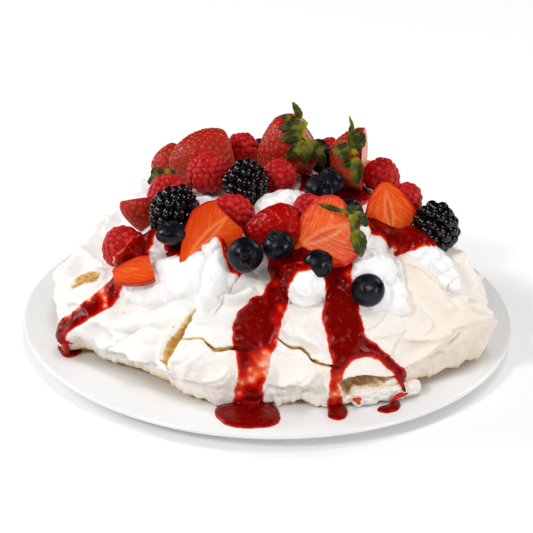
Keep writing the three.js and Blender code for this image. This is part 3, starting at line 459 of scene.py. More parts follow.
class PavlovaSauce(bpy.types.PropertyGroup):
    """The berry sauce."""

    thickness: length("Thickness", "Thickness of a run of sauce", 0.0021)
    deep: tint("Deep", "Colour of thick sauce", (0.155, 0.0008, 0.0004))
    bright: tint("Bright", "Colour of thinner sauce", (0.46, 0.003, 0.0012))
    film: tint("Film", "Colour of a thin film over meringue", (0.76, 0.09, 0.022))


class PavlovaFruit(bpy.types.PropertyGroup):
    """The fruit."""

    raspberry_bead: length("Raspberry bead", "Width of a raspberry's drupelet", 0.0034)
    dark_bead: length("Dark bead", "Width of a dark berry's drupelet", 0.0057)
    seed_spacing: length("Seed spacing", "Distance between a strawberry's seeds", 0.0031)
    raspberry: tint("Raspberry", "Colour of the raspberries", (0.34, 0.003, 0.006))
    dark_berry: tint("Dark berry", "Colour of the dark berries", (0.0015, 0.0008, 0.0012))
    blueberry: tint("Blueberry", "Colour of the blueberries", (0.003, 0.0032, 0.0055))
    skin: tint("Skin", "Colour of strawberry skin", (0.36, 0.004, 0.003))
    flesh: tint("Flesh", "Colour of cut strawberry", (0.76, 0.075, 0.006))
    leaf: tint("Leaf", "Colour of the leaves", (0.022, 0.031, 0.004))


class PavlovaSettings(bpy.types.PropertyGroup):
    """All sizes and colours of the pavlova."""

    plate: PointerProperty(type=PavlovaPlate)
    shell: PointerProperty(type=PavlovaShell)
    cream: PointerProperty(type=PavlovaCream)
    sauce: PointerProperty(type=PavlovaSauce)
    fruit: PointerProperty(type=PavlovaFruit)


# ------------------------------------------------------------------ numbers


def smooth(t):
    """Eases a share from 0 to 1."""
    t = np.clip(t, 0, 1)
    return t * t * (3 - 2 * t)


def waves(points, size, seed=0, octaves=3):
    """Soft noise of about -1 to 1 at each point, in swells of the given size."""
    shift = np.array([17.3, 5.1, 9.7]) * (seed + 1)
    places = np.asarray(points) / size + shift
    return np.array([noise.fractal(place, 1.0, 2.0, octaves) for place in places.tolist()])


def between(a, b, c, d, f):
    """The place at share f of the way from b to c on the smooth curve through four stops."""
    return b + 0.5 * f * (c - a + f * (2 * a - 5 * b + 4 * c - d + f * (3 * (b - c) + d - a)))


def curve_through(stops, steps):
    """Places on the smooth curve through all but the first and the last of the stops."""
    spans = zip(stops, stops[1:], stops[2:], stops[3:])
    return [between(*span, f) for span in spans for f in np.arange(steps) / steps]


def round_table(values, azimuth):
    """A smooth closed table of values round the circle."""
    values = np.asarray(values, float)
    t = (azimuth / 360 * len(values)) % len(values)
    i = np.floor(t).astype(int)
    return between(*(values[(i + k) % len(values)] for k in (-1, 0, 1, 2)), t - i)


def heading(azimuth, pitch):
    """The unit vector of a heading."""
    a, p = math.radians(azimuth), math.radians(pitch)
    return np.array([math.cos(p) * math.cos(a), math.cos(p) * math.sin(a), math.sin(p)])


def unit(vectors):
    """Vectors of length 1."""
    return vectors / np.maximum(np.linalg.norm(vectors, axis=-1, keepdims=True), 1e-9)


def dome_point(azimuth, climb):
    """Points of the bare dome, in mm."""
    azimuth, climb = np.asarray(azimuth, float), np.asarray(climb, float)
    rim_height = PLATE_TOP + round_table(RIM_LIFT, azimuth)
    across = np.maximum(np.cos(np.radians(climb)), 0) ** (2 / DOME_FULLNESS)
    up = np.sin(np.radians(climb)) ** (2 / DOME_FULLNESS)
    reach = round_table(RIM_RADIUS, azimuth) * across
    turn = np.radians(azimuth)
    return np.stack([
        DOME_CENTRE[0] + reach * np.cos(turn),
        DOME_CENTRE[1] + reach * np.sin(turn),
        rim_height + (DOME_TOP - rim_height) * up,
    ], -1)


def dome_normal(azimuth, climb):
    """Outward normals of the bare dome."""
    azimuth = np.asarray(azimuth, float)
    climb = np.clip(climb, 0.5, 88)
    here = dome_point(azimuth, climb)
    return unit(np.cross(dome_point(azimuth + 0.5, climb) - here, dome_point(azimuth, climb + 0.5) - here))


def smooth_path(path, steps=5):
    """A path of places with a smooth curve through them."""
    stops = np.array(path, float)
    stops[:, 0] = np.degrees(np.unwrap(np.radians(stops[:, 0])))
    if len(stops) < 3:
        return stops
    padded = np.vstack([2 * stops[0] - stops[1], stops, 2 * stops[-1] - stops[-2]])
    return np.array(curve_through(padded, steps) + [stops[-1]])


def lengths_along(line):
    """The length of a chain of points up to each of them."""
    return np.concatenate([[0], np.cumsum(np.linalg.norm(np.diff(line, axis=0), axis=1))])


def nearest_on(points, a, b):
    """For each point, the share of the way from a to b where it is nearest to that line, the step from
    there to the point, and the distance."""
    step = b - a
    t = np.clip((points - a) @ step / max(step @ step, 1e-9), 0, 1)
    gap = points - (a + t[:, None] * step)
    return t, gap, np.linalg.norm(gap, axis=1)


def near_path(points, path, reach):
    """The points within reach of a path on the dome: their indices, their distances, with a plus to the
    right of the path seen from outside, and their shares of its length."""
    stops = smooth_path([stop[:2] for stop in path])
    line = dome_point(stops[:, 0], stops[:, 1])
    near = np.flatnonzero(((points > line.min(0) - reach) & (points < line.max(0) + reach)).all(1))
    place = points[near]
    starts = lengths_along(line)
    nearest = np.full(len(near), np.inf)
    side = np.zeros(len(near))
    share = np.zeros(len(near))
    outwards = dome_normal(stops[:, 0], stops[:, 1])
    for i, (a, b) in enumerate(zip(line, line[1:])):
        t, gap, distance = nearest_on(place, a, b)
        closer = distance < nearest
        nearest[closer] = distance[closer]
        side[closer] = np.sign(gap @ np.cross(b - a, outwards[i]))[closer]
        share[closer] = ((starts[i] + t * (starts[i + 1] - starts[i])) / starts[-1])[closer]
    kept = nearest < reach
    return near[kept], (nearest * np.where(side == 0, 1, side))[kept], share[kept]


def distance_to(points, line):
    """The distance from each point to a chain of points."""
    return np.min([nearest_on(points, a, b)[2] for a, b in zip(line, line[1:])], axis=0)


def outline_field(points, azimuth, climb, outline):
    """How far inside a closed outline on the dome each place lies, in mm, negative outside it."""
    loop = smooth_path(outline[-2:] + outline + outline[:2])[10:-10]
    start = loop[0, 0]
    loop[:, 0] = (loop[:, 0] - start + 180) % 360 - 180
    x = (azimuth - start + 180) % 360 - 180
    odd = np.zeros(len(x), bool)
    closed = np.vstack([loop, loop[:1]])
    for (ax, ay), (bx, by) in zip(closed, closed[1:]):
        crosses = (ax > x) != (bx > x)
        odd ^= crosses & (climb < ay + (x - ax) * (by - ay) / (bx - ax if bx != ax else 1))
    line = dome_point(closed[:, 0] + start, np.maximum(closed[:, 1], 0))
    near = ((points > line.min(0) - 9) & (points < line.max(0) + 9)).all(1)
    distance = np.full(len(points), 9.0)
    distance[near] = distance_to(points[near], line)
    return np.where(odd, distance, -distance)


# ------------------------------------------------------------------ relief of the shell and the cream


def drawn_folds(count, seed, start, span, stray, climb, reach, rise, bend, top, heights, gentle, steep):
    """Folds spread round a part of the shell by a seeded draw, within the limits of one of the tables."""
    draw = np.random.default_rng(seed)
    folds = []
    for i in range(count):
        first = start + span * (i + draw.uniform(-stray, stray)) / count
        low, along, up, bow = (draw.uniform(*limits) for limits in (climb, reach, rise, bend))
        path = [
            (first + along * f, float(np.clip(low + up * f + bow * math.sin(math.pi * f), 1, top)))
            for f in (0, 0.35, 0.7, 1)
        ]
        folds.append((path, draw.uniform(*heights), draw.uniform(*gentle), draw.uniform(*steep)))
    return folds


def taper(share, ends=0.22):
    """Fades a stroke out at both of its ends."""
    return smooth(share / ends) * smooth((1 - share) / ends)


def shell_relief(azimuth, climb):
    """The dome's points, how far the shell stands out from them and how golden it is there."""
    points = dome_point(azimuth, climb)
    creases = 0.3 - np.abs(waves(points, 11, 18, 2))
    height = 1.1 * waves(points, 26, 1) + 0.35 * waves(points, 7, 2) + 0.7 * creases
    gold = np.zeros(len(points))
    jag = waves(points, 2.6, 3, 2)
    ripple = waves(points, 9, 4, 2)
    for path, half_width, swell in SWELLS:
        near, distance, _ = near_path(points, path, half_width)
        height[near] += swell * (1 - (distance / half_width) ** 2) ** 2
    sizes = settings().shell
    back = drawn_folds(sizes.spare_folds, **SPARE_FOLDS)
    front = drawn_folds(sizes.short_folds, **SHORT_FOLDS)
    for path, rise, gentle, steep in FOLDS + back + front:
        near, distance, share = near_path(points, path, max(gentle, steep) + 2)
        distance = distance + 1.1 * ripple[near] + 0.5 * jag[near]
        slope = np.where(distance < 0, 1 + distance / gentle, 1 - distance / steep)
        fade = taper(share)
        height[near] += FOLD_HEIGHT * rise * np.clip(slope, 0, 1) ** 1.7 * fade
        gold[near] = np.maximum(gold[near], 0.3 * fade * np.exp(-(((distance - steep) / 1.1) ** 2)))
    for path, depth in SEAMS:
        near, distance, share = near_path(points, path, 4)
        mask = smooth(1.25 - np.abs(distance + 0.5 * jag[near]) / 0.6) * taper(share)
        height[near] -= depth * mask
        gold[near] = np.maximum(gold[near], 0.6 * mask)
    for path, half_width, depth in CRACKS:
        near, distance, share = near_path(points, path, half_width + 4)
        open_part = 0.4 + 0.6 * np.sin(math.pi * np.clip(share, 0.02, 0.98)) ** 0.7
        inside = half_width * open_part * (1 + 0.55 * jag[near]) - np.abs(distance + 0.3 * jag[near])
        height[near] -= depth * smooth(inside / 0.8 + 0.4)
        gold[near] = np.maximum(gold[near], smooth(inside / 0.6 + 0.7))
    for outline, depth in OPEN_CRACKS:
        inside = outline_field(points, azimuth, climb, outline) + 0.5 * jag
        height += 0.8 * np.exp(-((inside + 2.2) ** 2) / 2.5) - depth * smooth(inside / 1.4)
        gold = np.maximum(gold, smooth(inside / 0.7 + 1))
    broken = outline_field(points, azimuth, climb, BREAK_OUTLINE) + 0.5 * waves(points, 3, 5, 2)
    height -= smooth(broken / 1.4) * (BREAK_DEPTH + 2.2 * waves(points, 4, 17, 3))
    return points, height, np.maximum(gold, 0.6 * smooth(broken / 0.6 + 0.7))


def cream_relief(azimuth, climb, thickness):
    """How far the cream stands out from the shell under it, negative where there is none."""
    points = dome_point(azimuth, climb)
    edge = dome_point(*np.transpose(CREAM_EDGE + CREAM_EDGE[:1]))
    inside = np.minimum(distance_to(points, edge), 30)
    low_edge = np.interp(azimuth, *np.transpose(CREAM_EDGE), period=360)
    inside = np.where(climb > low_edge, inside, -inside) + 1.3 * waves(points, 6, 6)
    lumps = waves(points, 15, 7)
    fluff = np.abs(waves(points, 6, 8, 2)) + 0.15 * np.abs(waves(points, 2.2, 16, 2))
    layer = thickness * (1 - np.exp(-np.maximum(inside, 0) / 2.6)) * (0.85 + 0.35 * lumps)
    for path, half_width, rise in CREAM_RIDGES:
        near, distance, share = near_path(points, path, half_width)
        shape = (1 - (distance / half_width) ** 2) * taper(share, 0.12)
        layer[near] += rise * shape * smooth(inside[near] / 1.5)
    height = np.where(inside > 0, layer + (0.35 - fluff) * smooth(inside / 4), 0.9 * inside)
    return np.maximum(height, -2.2)


# ------------------------------------------------------------------ meshes


def skin(columns, rows, place):
    """A closed skin from a grid whose first and last columns meet and whose end rows are poles. place
    takes the turn round, in radians, and the share down, from 0 to 1, of each vertex. It gives the points
    in mm and a table of named values."""
    bm = bmesh.new()
    bmesh.ops.create_grid(bm, x_segments=columns, y_segments=rows, size=1)
    corners = np.array([v.co[:2] for v in bm.verts])
    shares = (corners + 1) / 2
    wrapped = np.where(shares[:, 0] > 1 - 0.25 / columns, 0, shares[:, 0])
    points, values = place(wrapped * 2 * math.pi, shares[:, 1])
    store(bm, points, values)
    bmesh.ops.remove_doubles(bm, verts=bm.verts[:], dist=1e-7)
    return outward(bm)


def store(bm, points, values):
    """Moves the vertices to points in mm and keeps the named values on them."""
    for vertex, point in zip(bm.verts, (np.asarray(points) * MM).tolist()):
        vertex.co = point
    for name, column in values.items():
        column = np.asarray(column)
        layers = bm.verts.layers.float if column.ndim == 1 else bm.verts.layers.float_vector
        layer = layers.get(name) or layers.new(name)
        for vertex, value in zip(bm.verts, column.tolist()):
            vertex[layer] = value


def outward(bm):
    """Turns the faces of a closed mesh outwards."""
    bmesh.ops.recalc_face_normals(bm, faces=bm.faces[:])
    if bm.calc_volume(signed=True) < 0:
        bmesh.ops.reverse_faces(bm, faces=bm.faces[:])
    return bm


def scattered(template, places, material=0):
    """Copies of a small closed mesh at 4x4 places in mm, joined from arrays into one mesh. Each copy
    keeps a seeded number of its own in "own", and how far each vertex stands out in "crown"."""
    corner = np.array([v.co[:] for v in template.verts])
    faces = np.array([[v.index for v in f.verts] for f in template.faces])
    places = np.array(places)
    points = np.einsum("nij,mj->nmi", places[:, :3, :3], corner) + places[:, None, :3, 3]
    indices = faces[None] + (np.arange(len(places)) * len(corner))[:, None, None]
    mesh = bpy.data.meshes.new("copies")
    corners = (points.reshape(-1, 3) * MM).tolist()
    mesh.from_pydata(corners, [], indices.reshape(-1, faces.shape[1]).tolist())
    own = np.random.default_rng(5).random(len(places))
    for name, column in (
        ("own", np.repeat(own, len(corner))),
        ("crown", np.tile(corner[:, 2], len(places))),
    ):
        mesh.attributes.new(name, "FLOAT", "POINT").data.foreach_set("value", column.astype(np.float32))
    mesh.polygons.foreach_set("material_index", np.full(len(mesh.polygons), material))
    return mesh


def joined(bm, mesh):
    """Adds a mesh to a bmesh and removes it from the file."""
    bm.from_mesh(mesh)
    bpy.data.meshes.remove(mesh)
    return bm


def add_part(bm, part):
    """Adds a closed part, a bmesh of its own, and frees it."""
    mesh = bpy.data.meshes.new("part")
    part.to_mesh(mesh)
    part.free()
    joined(bm, mesh)


def ball(turn, down):
    """Points of a ball of radius 1, for the place of a skin."""
    fall = down * math.pi
    return np.stack([np.sin(fall) * np.cos(turn), np.sin(fall) * np.sin(turn), np.cos(fall)], 1)


def sharpen(bm, degrees=38):
    """Marks the edges sharper than an angle, so that a cut keeps its crisp rim."""
    limit = math.radians(degrees)
    for edge in bm.edges:
        edge.smooth = edge.calc_face_angle(0) < limit


def finish_piece(bm, name, materials, nodes=()):
    """Makes a bmesh a finished piece: smooth, with its materials, riding on the root body."""
    mesh = bpy.data.meshes.new(name)
    for face in bm.faces:
        face.smooth = True
    bm.to_mesh(mesh)
    bm.free()
    for material in materials:
        mesh.materials.append(material)
    piece = bpy.data.objects.new(name, mesh)
    bpy.context.scene.collection.objects.link(piece)
    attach(piece, "root")
    if nodes:
        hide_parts(*nodes)
    return piece


def facing_place(point, outwards, along, size=(1, 1, 1)):
    """A 4x4 place at a point: Z outwards, Y near along, scaled by three sizes."""
    z = unit(np.asarray(outwards, float))
    y = unit(along - (along @ z) * z)
    place = np.eye(4)
    place[:3, :3] = np.stack([np.cross(y, z), y, z], 1) * np.asarray(size)
    place[:3, 3] = point
    return place


def fruit_place(at, tip, face=(270, 12)):
    """The 4x4 place of a fruit: Z to its tip, Y the way a cut face looks."""
    return facing_place(at, heading(*tip), heading(*face))


def moved(place, points):
    """Points moved by a 4x4 place."""
    return points @ place[:3, :3].T + place[:3, 3]


# ------------------------------------------------------------------ shaders


class Wire:
    """A shader socket that takes part in plain arithmetic."""

    def __init__(self, paint, socket):
        self.paint = paint
        self.socket = socket

    def __add__(self, other):
        return self.paint.math("ADD", self, other)

    def __sub__(self, other):
        return self.paint.math("SUBTRACT", self, other)

    def __rsub__(self, other):
        return self.paint.math("SUBTRACT", other, self)

    def __mul__(self, other):
        return self.paint.math("MULTIPLY", self, other)

    __radd__ = __add__
    __rmul__ = __mul__


class Paint:
    """One material and the nodes that colour it."""

    def __init__(self, name):
        self.material = bpy.data.materials.new(name)
        self.material.use_nodes = True
        self.tree = self.material.node_tree
        self.shader = self.tree.nodes["Principled BSDF"]

    def node(self, kind, settings=None, inputs=None, output=0):
        """Adds a node, sets its settings, then its sockets, and gives one of its outputs."""
        node = self.tree.nodes.new(kind)
        for name, value in (settings or {}).items():
            setattr(node, name, value)
        for name, value in (inputs or {}).items():
            self.feed(node.inputs[name], value)
        return Wire(self, node.outputs[output])

    def feed(self, socket, value):
        """Links or sets a socket."""
        if isinstance(value, Wire):
            self.tree.links.new(value.socket, socket)
        elif socket.type == "RGBA" and len(value) == 3:
            socket.default_value = (*value, 1)
        else:
            socket.default_value = value

    def math(self, operation, *values):
        """A Math node on one to three values."""
        return self.node("ShaderNodeMath", {"operation": operation}, dict(enumerate(values)))

    def clamp(self, value):
        """A value held between 0 and 1."""
        return self.node("ShaderNodeClamp", None, {"Value": value})

    def step(self, value, low, high):
        """A value eased from 0 at low to 1 at high."""
        inputs = {"Value": value, "From Min": low, "From Max": high}
        return self.node("ShaderNodeMapRange", {"interpolation_type": "SMOOTHSTEP"}, inputs)

    def mix(self, a, b, factor):
        """One colour over another."""
        return self.node("ShaderNodeMix", {"data_type": "RGBA"}, {0: factor, 6: a, 7: b}, 2)

    def value_of(self, name):
        """A value kept on the vertices."""
        return self.node("ShaderNodeAttribute", {"attribute_name": name}, None, "Fac")

    def vector_of(self, name):
        """The three parts of a vector kept on the vertices."""
        vector = self.node("ShaderNodeAttribute", {"attribute_name": name}, None, "Vector")
        return [self.node("ShaderNodeSeparateXYZ", None, {"Vector": vector}, i) for i in range(3)]

    def place(self):
        """Places on the piece, in metres."""
        return self.node("ShaderNodeTexCoord", None, None, "Object")

    def noise(self, size, detail=2.0, vector=None, roughness=0.5):
        """Soft noise with swells of a size in metres."""
        inputs = {"Scale": 1 / size, "Detail": detail, "Roughness": roughness}
        return self.node("ShaderNodeTexNoise", None, {"Vector": vector or self.place(), **inputs}, "Fac")

    def cells(self, size):
        """The distance to the middle of the nearest of the cells of a size in metres."""
        inputs = {"Vector": self.place(), "Scale": 1 / size}
        return self.node("ShaderNodeTexVoronoi", None, inputs, "Distance")

    def bump(self, height, distance):
        """Raises the surface by a height of 0 to 1 times a distance in metres."""
        normal = self.node("ShaderNodeBump", None, {"Height": height, "Distance": distance})
        self.feed(self.shader.inputs["Normal"], normal)

    def soft_inside(self, weight, radius, scale):
        """Lets light a little way in, further for some colours than for others."""
        sockets = self.shader.inputs
        sockets["Subsurface Weight"].default_value = weight
        sockets["Subsurface Radius"].default_value = radius
        sockets["Subsurface Scale"].default_value = scale

    def finish(self, **sockets):
        """Sets or links the shader's own sockets, with _ for a space."""
        for name, value in sockets.items():
            self.feed(self.shader.inputs[name.replace("_", " ")], value)
        return self.material


def once(make):
    """Makes a material the first time it is asked for."""
    kept = {}

    def ask():
        if "material" not in kept:
            kept["material"] = make()
        return kept["material"]

    return ask


def settings():
    """The sizes and colours of this scene."""
    return bpy.context.scene.pavlova


# The second colours of the finishes, next to those of the settings.
SMEARED_GLAZE = (0.765, 0.765, 0.762)
HONEYCOMB = (0.84, 0.62, 0.30)
PINK_FILM = (0.88, 0.50, 0.38)
SAUCE_SEED = (0.55, 0.16, 0.02)
SAUCE_STREAK = (0.34, 0.014, 0.012)
RIPE_RASPBERRY = (0.52, 0.012, 0.010)
# Painted shade: the colour of the low parts of each drupelet and of the core between them.
SHADED_RASPBERRY = (0.22, 0.001, 0.002)
# Painted highlight on the top of each drupelet.
RASPBERRY_PAINTED_HIGHLIGHT = (0.70, 0.055, 0.05)
WINE_DRUPELET = (0.008, 0.0012, 0.002)
BLOOM = (0.017, 0.021, 0.034)
STALK_SCAR = (0.16, 0.085, 0.03)
BLUSH = (0.43, 0.012, 0.006)
PALE_SHOULDER = (0.70, 0.16, 0.08)
DIMPLE_RIM = (0.56, 0.05, 0.03)
# Painted shade at the bottom of each seed's dimple.
DIMPLE_SHADE = (0.17, 0.004, 0.002)
PALE_SEED = (0.36, 0.16, 0.015)
BROWN_SEED = (0.20, 0.12, 0.012)
INNER_FLESH = (0.80, 0.095, 0.01)
RIPE_FLESH = (0.58, 0.042, 0.002)
PALE_FIBRE = (0.90, 0.28, 0.085)
RED_FIBRE = (0.56, 0.028, 0.002)
PALE_CORE = (0.89, 0.27, 0.085)
RED_CORE = (0.62, 0.06, 0.018)
SKIN_RIM = (0.55, 0.012, 0.004)
YOUNG_GREEN = (0.15, 0.145, 0.004)
YELLOW_RIB = (0.30, 0.27, 0.012)
FLOOR_SHADE = (0.81, 0.81, 0.81)
FLOOR_GLOW = 0.1


@once
def glazed_white():
    paint = Paint("glazed_white")
    smear = paint.noise(0.05, 3)
    paint.bump(paint.noise(0.03, 2), 0.0002)
    return paint.finish(
        Base_Color=paint.mix(settings().plate.glaze, SMEARED_GLAZE, smear),
        Roughness=0.16 + 0.12 * smear,
        Specular_IOR_Level=0.5,
    )


@once
def baked_meringue():
    paint = Paint("baked_meringue")
    colours = settings().shell
    gold = paint.value_of("gold")
    warm = paint.clamp(paint.value_of("warm") + 0.55 * (paint.noise(0.035, 3) - 0.5))
    pits = paint.step(paint.cells(0.0095), 0.055, 0.02) * paint.step(paint.noise(0.02, 2), 0.5, 0.56)
    comb = paint.cells(0.0016)
    crumb = paint.noise(0.0011, 2)
    base = paint.mix(colours.pale, colours.warm, warm)
    inner = paint.mix(colours.gold, HONEYCOMB, paint.step(comb, 0.2, 0.9))
    inside = paint.step(gold, 0.15, 0.85)
    colour = paint.mix(base, inner, paint.clamp(inside + 0.45 * pits))
    soft = paint.noise(0.004, 4)
    paint.bump(0.5 * soft + 0.2 * crumb + 0.7 * inside * comb - 0.8 * pits, 0.0008)
    paint.soft_inside(0.2, (1.0, 0.75, 0.5), 0.003)
    return paint.finish(
        Base_Color=colour,
        Roughness=0.52 + 0.2 * soft,
        Specular_IOR_Level=0.2,
    )


@once
def whipped_cream():
    paint = Paint("whipped_cream")
    colours = settings().cream
    stain = paint.clamp(paint.value_of("stain") * (0.4 + 1.1 * paint.noise(0.006, 3)))
    fine = paint.noise(0.003, 4, roughness=0.6)
    paint.bump(fine, 0.0009)
    paint.soft_inside(0.2, (1.0, 0.9, 0.8), 0.003)
    return paint.finish(
        Base_Color=paint.mix(colours.white, colours.stain, stain),
        Roughness=0.42 + 0.2 * fine,
        Specular_IOR_Level=0.25,
    )


@once
def berry_sauce():
    paint = Paint("berry_sauce")
    colours = settings().sauce
    depth = paint.value_of("depth")
    thick = depth + 0.9 * (paint.noise(0.004, 4, roughness=0.6) - 0.5)
    body = paint.mix(colours.bright, colours.deep, paint.step(thick, 0.6, 1.7))
    body = paint.mix(colours.film, body, paint.step(thick, 0.1, 0.75))
    body = paint.mix(PINK_FILM, body, paint.step(thick, -0.1, 0.3))
    seeds = paint.step(paint.cells(0.0040), 0.14, 0.06) * paint.step(paint.noise(0.009, 1), 0.48, 0.56)
    colour = paint.mix(body, SAUCE_SEED, 0.7 * seeds)
    along = paint.node("ShaderNodeMapping", None, {"Vector": paint.place(), "Scale": (1.0, 1.0, 0.4)})
    swirl = paint.noise(0.0026, 4, along, 0.6)
    streak = 0.5 * paint.step(swirl, 0.56, 0.7) * paint.step(thick, 0.5, 1.0)
    colour = paint.mix(colour, SAUCE_STREAK, streak)
    paint.bump(swirl + 0.4 * seeds, 0.0005)
    return paint.finish(
        Base_Color=colour,
        Roughness=0.05 + 0.07 * paint.noise(0.012, 2),
        Specular_IOR_Level=0.14,
    )


@once
def raspberry_flesh():
    paint = Paint("raspberry_flesh")
    own = paint.value_of("own")
    crown = paint.value_of("crown")
    colour = settings().fruit.raspberry
    ripe = paint.mix(colour, RIPE_RASPBERRY, paint.clamp(own * 0.5 + 0.5 * paint.noise(0.012, 2)))
    # Painted shade: each drupelet is darkened low down, and the core between them too.
    shaded = paint.mix(SHADED_RASPBERRY, ripe, paint.step(crown, 0.0, 0.6))
    # Painted highlight: the tops of some drupelets are lightened pink.
    tone = paint.mix(shaded, RASPBERRY_PAINTED_HIGHLIGHT, 0.45 * paint.step(crown, 0.7, 1.0) * own)
    paint.bump(paint.noise(0.0006, 2), 0.0002)
    paint.soft_inside(0.25, (1.0, 0.1, 0.1), 0.0018)
    return paint.finish(
        Base_Color=tone,
        Roughness=0.2 + 0.2 * own,
        Specular_IOR_Level=0.16,
    )


@once
def dark_berry_flesh():
    paint = Paint("dark_berry_flesh")
    own = paint.value_of("own")
    base = paint.mix(settings().fruit.dark_berry, WINE_DRUPELET, paint.step(own, 0.6, 1.0))
    paint.bump(paint.noise(0.003, 1), 0.00005)
    return paint.finish(
        Base_Color=base,
        Roughness=0.19 + 0.08 * own,
        Specular_IOR_Level=0.5,
    )


@once
def blueberry_skin():
    paint = Paint("blueberry_skin")
    bloom = paint.step(paint.noise(0.007, 4, roughness=0.65), 0.38, 0.72)
    speckle = paint.noise(0.0009, 2)
    scar = paint.value_of("scar")
    dusty = paint.clamp(bloom * (0.3 + 0.6 * speckle))
    colour = paint.mix(paint.mix(settings().fruit.blueberry, BLOOM, dusty), STALK_SCAR, paint.clamp(scar))
    paint.bump(paint.noise(0.002, 3) + 0.5 * speckle, 0.0002)
    return paint.finish(Base_Color=colour, Roughness=0.2 + 0.3 * bloom, Specular_IOR_Level=0.2)


@once
def strawberry_skin():
    paint = Paint("strawberry_skin")
    dimple = paint.value_of("dimple")
    along = paint.vector_of("berry")[2]
    blush = paint.noise(0.008, 3)
    ripe = paint.mix(settings().fruit.skin, BLUSH, blush)
    shoulder = paint.step(along, -0.72, -1.02)
    pale = paint.mix(ripe, PALE_SHOULDER, 0.3 * shoulder)
    rim = paint.step(dimple, 0.05, 0.35) * paint.step(dimple, 0.8, 0.5)
    colour = paint.mix(pale, DIMPLE_RIM, 0.25 * rim)
    # Painted shade: the bottom of each dimple is darkened.
    colour = paint.mix(colour, DIMPLE_SHADE, 0.85 * paint.step(dimple, 0.5, 0.95))
    paint.bump(paint.noise(0.0016, 3), 0.0002)
    paint.soft_inside(0.05, (1.0, 0.1, 0.1), 0.0015)
    return paint.finish(
        Base_Color=colour,
        Roughness=0.24 + 0.14 * blush,
        Specular_IOR_Level=0.2,
    )


@once
def strawberry_seed():
    paint = Paint("strawberry_seed")
    own = paint.value_of("own")
    return paint.finish(
        Base_Color=paint.mix(PALE_SEED, BROWN_SEED, own),
        Roughness=0.4 + 0.1 * own,
    )


@once
def strawberry_flesh():
    """Cut flesh: red skin at the rim, orange flesh with pale slanting fibres, and a pink core."""
    paint = Paint("strawberry_flesh")
    across, depth, along = paint.vector_of("berry")
    aside = paint.math("ABSOLUTE", across)
    ring = paint.value_of("ring")
    fray = paint.noise(0.004, 3)
    slant = along + aside * 0.85
    fan = paint.node("ShaderNodeCombineXYZ", None, {"X": slant * 12.0, "Y": aside * 1.6, "Z": depth})
    fibres = paint.node("ShaderNodeTexNoise", None, {"Vector": fan, "Scale": 1.0, "Detail": 3.0}, "Fac")
    own = paint.value_of("own")
    outer = paint.step(ring + 0.12 * (fray - 0.5), 0.25, 0.95)
    flesh = paint.mix(INNER_FLESH, settings().fruit.flesh, outer)
    flesh = paint.mix(flesh, RIPE_FLESH, own * (0.55 + 0.35 * outer))
    pale = paint.step(fibres, 0.53, 0.66) * paint.step(aside, 0.12, 0.3) * paint.step(ring, 0.95, 0.6)
    flesh = paint.mix(flesh, PALE_FIBRE, (0.8 - 0.5 * own) * pale)
    flesh = paint.mix(flesh, RED_FIBRE, 0.75 * paint.step(fibres, 0.49, 0.38) * outer)
    middle = paint.math("ABSOLUTE", along + 0.08)
    lens = aside + 0.30 * middle * middle + 0.14 * (fray - 0.5)
    flesh = paint.mix(flesh, PALE_CORE, (0.65 - 0.1 * own) * paint.step(lens, 0.28, 0.14))
    flesh = paint.mix(flesh, RED_CORE, 0.85 * paint.step(lens, 0.13, 0.04))
    flesh = paint.mix(flesh, SKIN_RIM, paint.step(ring + 0.05 * fray, 0.88, 0.98))
    paint.bump(0.6 * fibres + 0.5 * fray, 0.0005)
    paint.soft_inside(0.08, (1.0, 0.25, 0.08), 0.002)
    return paint.finish(
        Base_Color=flesh,
        Roughness=0.16 + 0.16 * fray,
        Specular_IOR_Level=0.1,
    )


@once
def leaf_green():
    paint = Paint("leaf_green")
    across, root, along = paint.vector_of("leaf")
    rib = paint.step(paint.math("ABSOLUTE", across), 0.12, 0.03)
    side = paint.math("SINE", (along * 3.0 + paint.math("ABSOLUTE", across)) * 17.0)
    veins = paint.clamp(0.7 * rib + 0.25 * paint.step(side, 0.8, 1.0))
    patch = paint.noise(0.006, 3)
    green = paint.mix(settings().fruit.leaf, YOUNG_GREEN, paint.step(patch, 0.44, 0.64))
    green = paint.mix(green, YELLOW_RIB, paint.clamp(0.35 * veins + root * 0.7))
    paint.bump(0.7 * veins + 0.3 * paint.noise(0.0015, 2), 0.0004)
    return paint.finish(Base_Color=green, Roughness=0.3 + 0.15 * patch, Specular_IOR_Level=0.25)


@once
def floor_paper():
    paint = Paint("floor_paper")
    return paint.finish(
        Base_Color=FLOOR_SHADE,
        Roughness=0.8 + 0.02 * paint.noise(0.1),
        Emission_Color=(1, 1, 1),
        Emission_Strength=FLOOR_GLOW,
    )


# ------------------------------------------------------------------ operators: plate, shell and cream


class PavlovaOperator(bpy.types.Operator):
    """Shared by all operators: they change the file and can be undone."""

    bl_options = {"REGISTER", "UNDO"}


# The plate's rim: how far in from its edge, and the height there. Then the foot: how far out, and height.
PLATE_RIM = [
    (22, 1.3), (14, 1.9), (8, 3.0), (4.2, 4.4), (1.8, 5.8), (0.5, 6.8), (0, 7.6), (0.25, 8.35), (0.9, 8.85),
    (2.2, 9.0), (16, PLATE_TOP),
]
PLATE_FOOT = [(-1.2, 0), (0, 0.3), (1.4, 1.2)]


